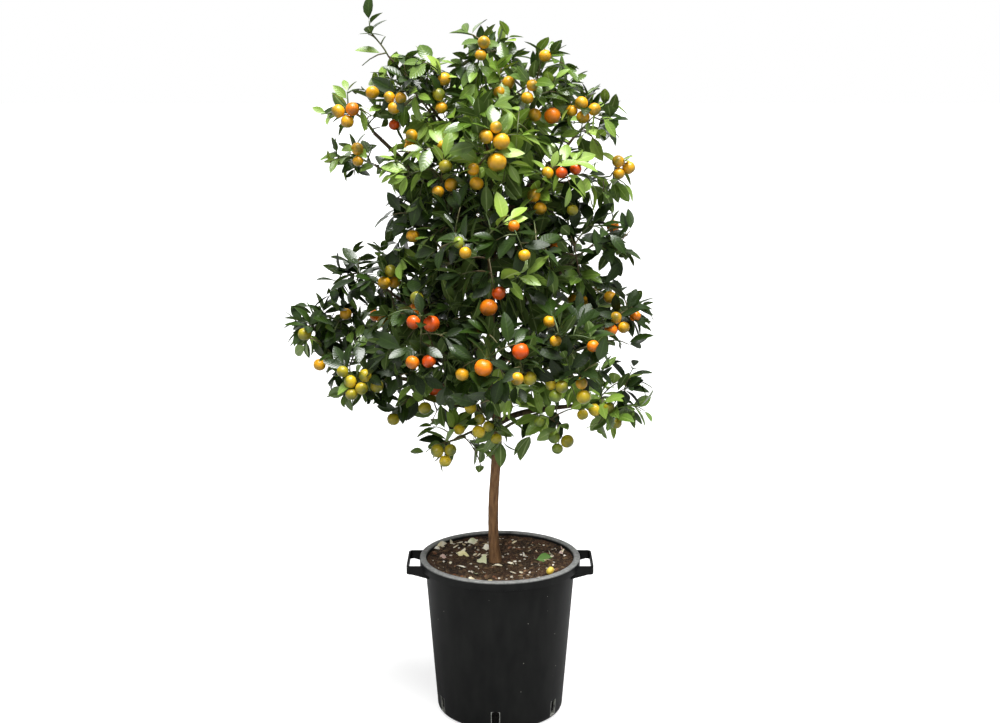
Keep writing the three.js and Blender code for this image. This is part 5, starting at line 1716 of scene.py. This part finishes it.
    def grow_mass(self, arm, random):
        """The arm's stem, then twigs to its tips, to its fruit, and to the rest of its space."""
        stem = self.stems[arm.name]
        tubes = self.tier(arm)["twigs"]
        tubes.add(stem[::2] + ([stem[-1]] if len(stem) % 2 == 0 else []), 7)
        last = len(stem) - 1
        joints = [stem[round(share * last)].at for share in STEM_JOINTS]
        arm.wood = [point for point in joints
                    if spread(arm.middle, arm.reach, point) < JOINTS_WITHIN]
        if not arm.wood:
            arm.wood = [stem[-1].at]
        taken = []
        for tip in arm.tips:
            heading = (tip - arm.middle).normalized()
            end = tip - heading * (self.leaf.length * mix(0.85, 1, arm.leaf))
            self.leafy_shoot(arm, end, random, heading)
        for place, _ in arm.fruit:
            end = place + UP * 0.010
            start = self.twig_start(arm, end)
            if start is not None:
                at = self.grow_twig(arm, start, end, 1.15 * TWIG_RADIUS)
                self.bract_leaves(arm, at, start, end, random)
            taken.append(end)
        self.hang_fruit(arm, random)
        wanted = round(self.leaf.shoots * self.room(arm) * arm.fill)
        found = 0
        for _ in range(2 * wanted):
            if found == wanted:
                break
            end = self.next_end(arm, taken, random)
            if end is not None:
                taken.append(end)
                found += self.leafy_shoot(arm, end, random)

    def bract_leaves(self, arm, at, start, end, random):
        """A few leaves round a fruiting twig's end, pointing outwards over the fruit."""
        along = (end - start).normalized()
        outward = (end - arm.middle).normalized()
        look = self.spray_look(arm, end, random)
        across = along.orthogonal().normalized()
        beside = along.cross(across)
        angle = TAU * random()
        for k in range(6):
            away = across * math.cos(angle) + beside * math.sin(angle)
            wanted = (away * 0.8 + along * 0.5 + outward * 0.3 + UP * 0.25).normalized()
            self.grow_leaf(arm, at(mix(0.5, 0.98, k / 5)), wanted, 0.3, random, look)
            angle += GOLDEN_ANGLE

    def room(self, arm):
        """Shoots that a mass has room for, next to one of the usual size."""
        return (arm.reach.x * arm.reach.y * arm.reach.z / USUAL_MASS) ** SHOOTS_BY_VOLUME

    def room_towards(self, arm, way):
        """How far the arm's own space goes from its middle in a direction."""
        outline = Vector((way.x * arm.reach.x, way.y * arm.reach.y, way.z * arm.reach.z))
        share = FARTHEST
        while share > 0 and not self.in_space(arm, arm.middle + outline * share):
            share -= 0.05
        return outline * max(share, 0)

    def next_end(self, arm, taken, random):
        """The end of the next twig: of several chances, the one farthest from those taken."""
        best, best_room = None, -1
        for _ in range(CANDIDATES):
            edge = self.room_towards(arm, any_direction(random))
            depth = mix(*SPRAY_DEPTH, random())
            if random() < 0.3:
                depth += random() * 0.5 * edge.length
            length = edge.length - depth
            if length < SHORTEST_TWIG:
                continue
            point = arm.middle + edge.normalized() * length
            room = min([(other - point).length for other in taken] + [length])
            if room > best_room:
                best, best_room = point, room
        return best


LEAF_LOOKS = {"deep": 0, "mid": 1, "light": 2, "fresh": 3, "inner": 4, "under": 5,
              "pale_under": 6}
PEEL_LOOKS = {"r": 0, "o": 1, "y": 2, "v": 3, "g": 4, "l": 5}


def leaf_materials():
    # the greens differ partly as leaves do and partly as painted light and shade: pale and fresh
    # ones stand for sunlit leaves, deep and inner ones for leaves in shade
    return [
        waxy_leaf("waxy_leaf_deep", "#1c2e07", "#3c5220", 0.28, 0.14, 0.36),
        waxy_leaf("waxy_leaf_mid", "#425c18", "#768b44", 0.27, 0.28),
        waxy_leaf("waxy_leaf_light", "#66842b", "#96aa58", 0.38, 0.06),
        waxy_leaf("waxy_leaf_fresh", "#86a13e", "#a9bb64", 0.44, 0.0),
        waxy_leaf("waxy_leaf_inner", "#18260a", "#2c3e18", 0.4, 0.0, 0.2),
        matt_underside("matt_leaf_underside", "#4c6226", "#7d9056"),
        matt_underside("pale_leaf_underside", "#8ca840", "#b4c67a"),
    ]


def peel_materials():
    return [
        citrus_peel("red_orange_peel", "#de5204", "#9a3f06"),
        citrus_peel("orange_peel", "#e87c08", "#a25c0a"),
        citrus_peel("yellow_orange_peel", "#dda016", "#78681a"),
        citrus_peel("olive_peel", "#a0921e", "#56601c"),
        citrus_peel("green_peel", "#7d8c2c", "#4c6224"),
        citrus_peel("lemon_yellow_peel", "#cdb022", "#6f7420"),
    ]


class CALAMONDIN_OT_crown(bpy.types.Operator):
    """Grows the crown: twigs, leaves and fruit, each kind in three tiers."""
    bl_idname = "calamondin.crown"
    bl_label = "Twigs, leaves and fruit"

    def execute(self, context):
        crown = Crown(context.scene.calamondin_leaf, context.scene.calamondin_fruit)
        twig_look = [young_shoot()]
        leaf_looks = leaf_materials()
        peel_looks = peel_materials()
        for name, tier in crown.tiers.items():
            nodes = ["foliage_" + arm for arm in tier["arms"]]
            twigs = mesh_object("twigs_" + name, tier["twigs"].points, tier["twigs"].faces,
                                twig_look)
            for piece in (twigs, tier["leaves"].piece("leaves_" + name, leaf_looks),
                          tier["fruit"].piece("fruit_" + name, peel_looks)):
                dress(piece, "foliage", *nodes)
        return {"FINISHED"}


# ---------------------------------------------------------------- the stage

CAMERA_AT = (0, -3.3, 1.5)
CAMERA_DOWN = 11.65  # degrees below the horizon
CAMERA_LENS = 54.3
SENSOR_WIDTH = 36.0
FILL_SHARE = 0.35  # power of the low light at the front left, next to the key light's
SOIL_CONE = math.radians(17)


class CALAMONDIN_OT_stage(bpy.types.Operator):
    """Sets up the pale floor, the soft light and the camera."""
    bl_idname = "calamondin.stage"
    bl_label = "Floor, light and camera"

    def execute(self, context):
        scene = context.scene
        settings = scene.calamondin_stage
        made, tree, shader = blank("plain_pale_floor", 0.9, 0.1)
        place = add(tree, COORD)["Object"]
        dust = add(tree, NOISE, {"Vector": place, "Scale": per_mm(670)})["Fac"]
        pale = (*settings.floor_colour, 1)
        paler = tuple(0.97 * value for value in settings.floor_colour) + (1,)
        tone = add(tree, MIX, {"Factor": dust, LOW: pale, HIGH: paler}, **COLOURS)[MIXED]
        # the floor looks a little whiter to the camera than it is lit
        seen = add(tree, "ShaderNodeLightPath")["Is Camera Ray"]
        glow = add(tree, MATHS, {0: seen, 1: settings.floor_glow}, operation="MULTIPLY")[0]
        feed(tree, shader, {
            "Base Color": tone, "Emission Color": (1, 1, 1, 1), "Emission Strength": glow})
        reach = 40.0
        points = [(-reach, -reach, -0.0005), (reach, -reach, -0.0005),
                  (reach, reach, -0.0005), (-reach, reach, -0.0005)]
        mesh_object("floor", points, [(0, 1, 2, 3)], [made])

        world = bpy.data.worlds.new("soft_studio")
        world.use_nodes = True
        scene.world = world
        tree = world.node_tree
        dim = tree.nodes["Background"]
        ray = add(tree, "ShaderNodeLightPath")
        # glossy leaves and peel mirror a bright ceiling over dark walls
        way_up = add(tree, APART, {"Vector": add(tree, COORD)["Generated"]})["Z"]
        ceiling = add(tree, RANGE, {"Value": way_up, "From Min": 0.1, "From Max": 0.75})["Result"]
        mirrored = add(tree, MATHS, {
            0: ray["Is Glossy Ray"], 1: ceiling}, operation="MULTIPLY")[0]
        strength = add(tree, MATHS, {
            0: mirrored, 1: settings.shine, 2: settings.sky}, operation="MULTIPLY_ADD")[0]
        feed(tree, dim, {"Color": (1, 1, 1, 1), "Strength": strength})
        bright = add(tree, "ShaderNodeBackground", {"Color": (1, 1, 1, 1), "Strength": 1.0})
        both = add(tree, "ShaderNodeMixShader", {
            0: ray["Is Camera Ray"], 1: dim.outputs[0], 2: bright[0]})
        feed(tree, tree.nodes["World Output"], {"Surface": both[0]})

        for name, kind, at, aim, size, power in (
            ("overhead_light", "SUN", (0.3, -0.6, 3.8), 0.9, None, settings.overhead),
            ("key_light", "AREA", (1.0, -2.0, 3.0), 0.9, 1.6, settings.key),
            ("fill_light", "AREA", (-1.7, -2.3, 1.0), 0.9, 1.4, FILL_SHARE * settings.key),
            ("back_light", "AREA", (-1.2, 2.8, 2.6), 0.9, 2.0, settings.key),
            ("soil_light", "SPOT", (-0.4, -1.9, 1.35), SOIL_EDGE, 0.15, settings.soil),
        ):
            lamp = bpy.data.lights.new(name, kind)
            lamp.energy = power
            if kind == "SUN":
                lamp.angle = settings.overhead_width
            elif kind == "SPOT":
                lamp.shadow_soft_size = size
                lamp.spot_size = SOIL_CONE
                lamp.spot_blend = 1.0
            else:
                lamp.shape = "SQUARE"
                lamp.size = size
            light = bpy.data.objects.new(name, lamp)
            light.location = at
            way = Vector((0, 0, aim)) - Vector(at)
            light.rotation_euler = way.to_track_quat("-Z", "Y").to_euler()
            scene.collection.objects.link(light)

        lens = bpy.data.cameras.new("camera")
        lens.lens = CAMERA_LENS
        lens.sensor_fit = "HORIZONTAL"
        lens.sensor_width = SENSOR_WIDTH
        camera = bpy.data.objects.new("camera", lens)
        camera.location = CAMERA_AT
        camera.rotation_euler = (math.radians(90 - CAMERA_DOWN), 0, 0)
        scene.collection.objects.link(camera)
        scene.camera = camera
        scene.view_settings.view_transform = "Standard"
        scene.view_settings.look = "None"
        return {"FINISHED"}


# ---------------------------------------------------------------- add-on

PROPERTY_GROUPS = {
    "calamondin_pot": PotSettings,
    "calamondin_soil": SoilSettings,
    "calamondin_wood": WoodSettings,
    "calamondin_leaf": LeafSettings,
    "calamondin_fruit": FruitSettings,
    "calamondin_stage": StageSettings,
}
OPERATORS = (
    CALAMONDIN_OT_pot,
    CALAMONDIN_OT_handles,
    CALAMONDIN_OT_soil,
    CALAMONDIN_OT_litter,
    CALAMONDIN_OT_wood,
    CALAMONDIN_OT_crown,
    CALAMONDIN_OT_stage,
)


class CALAMONDIN_PT_pieces(bpy.types.Panel):
    """Lists the plant's pieces and their settings."""
    bl_idname = "CALAMONDIN_PT_pieces"
    bl_label = "Calamondin in a pot"
    bl_space_type = "VIEW_3D"
    bl_region_type = "UI"
    bl_category = "Calamondin"

    def draw(self, context):
        for operator in OPERATORS:
            self.layout.operator(operator.bl_idname)
        for name, group in PROPERTY_GROUPS.items():
            box = self.layout.box()
            box.label(text=group.__doc__)
            for key in group.__annotations__:
                box.prop(getattr(context.scene, name), key)


def register():
    for group in PROPERTY_GROUPS.values():
        bpy.utils.register_class(group)
    for made in (*OPERATORS, CALAMONDIN_PT_pieces):
        bpy.utils.register_class(made)
    for name, group in PROPERTY_GROUPS.items():
        setattr(bpy.types.Scene, name, PointerProperty(type=group))


def unregister():
    for name in PROPERTY_GROUPS:
        delattr(bpy.types.Scene, name)
    for made in (CALAMONDIN_PT_pieces, *reversed(OPERATORS)):
        bpy.utils.unregister_class(made)
    for group in PROPERTY_GROUPS.values():
        bpy.utils.unregister_class(group)


def main():
    register()
    bpy.ops.calamondin.pot()
    bpy.ops.calamondin.handles()
    bpy.ops.calamondin.soil()
    bpy.ops.calamondin.litter()
    bpy.ops.calamondin.wood()
    bpy.ops.calamondin.crown()
    bpy.ops.calamondin.stage()


if __name__ == "__main__":
    main()
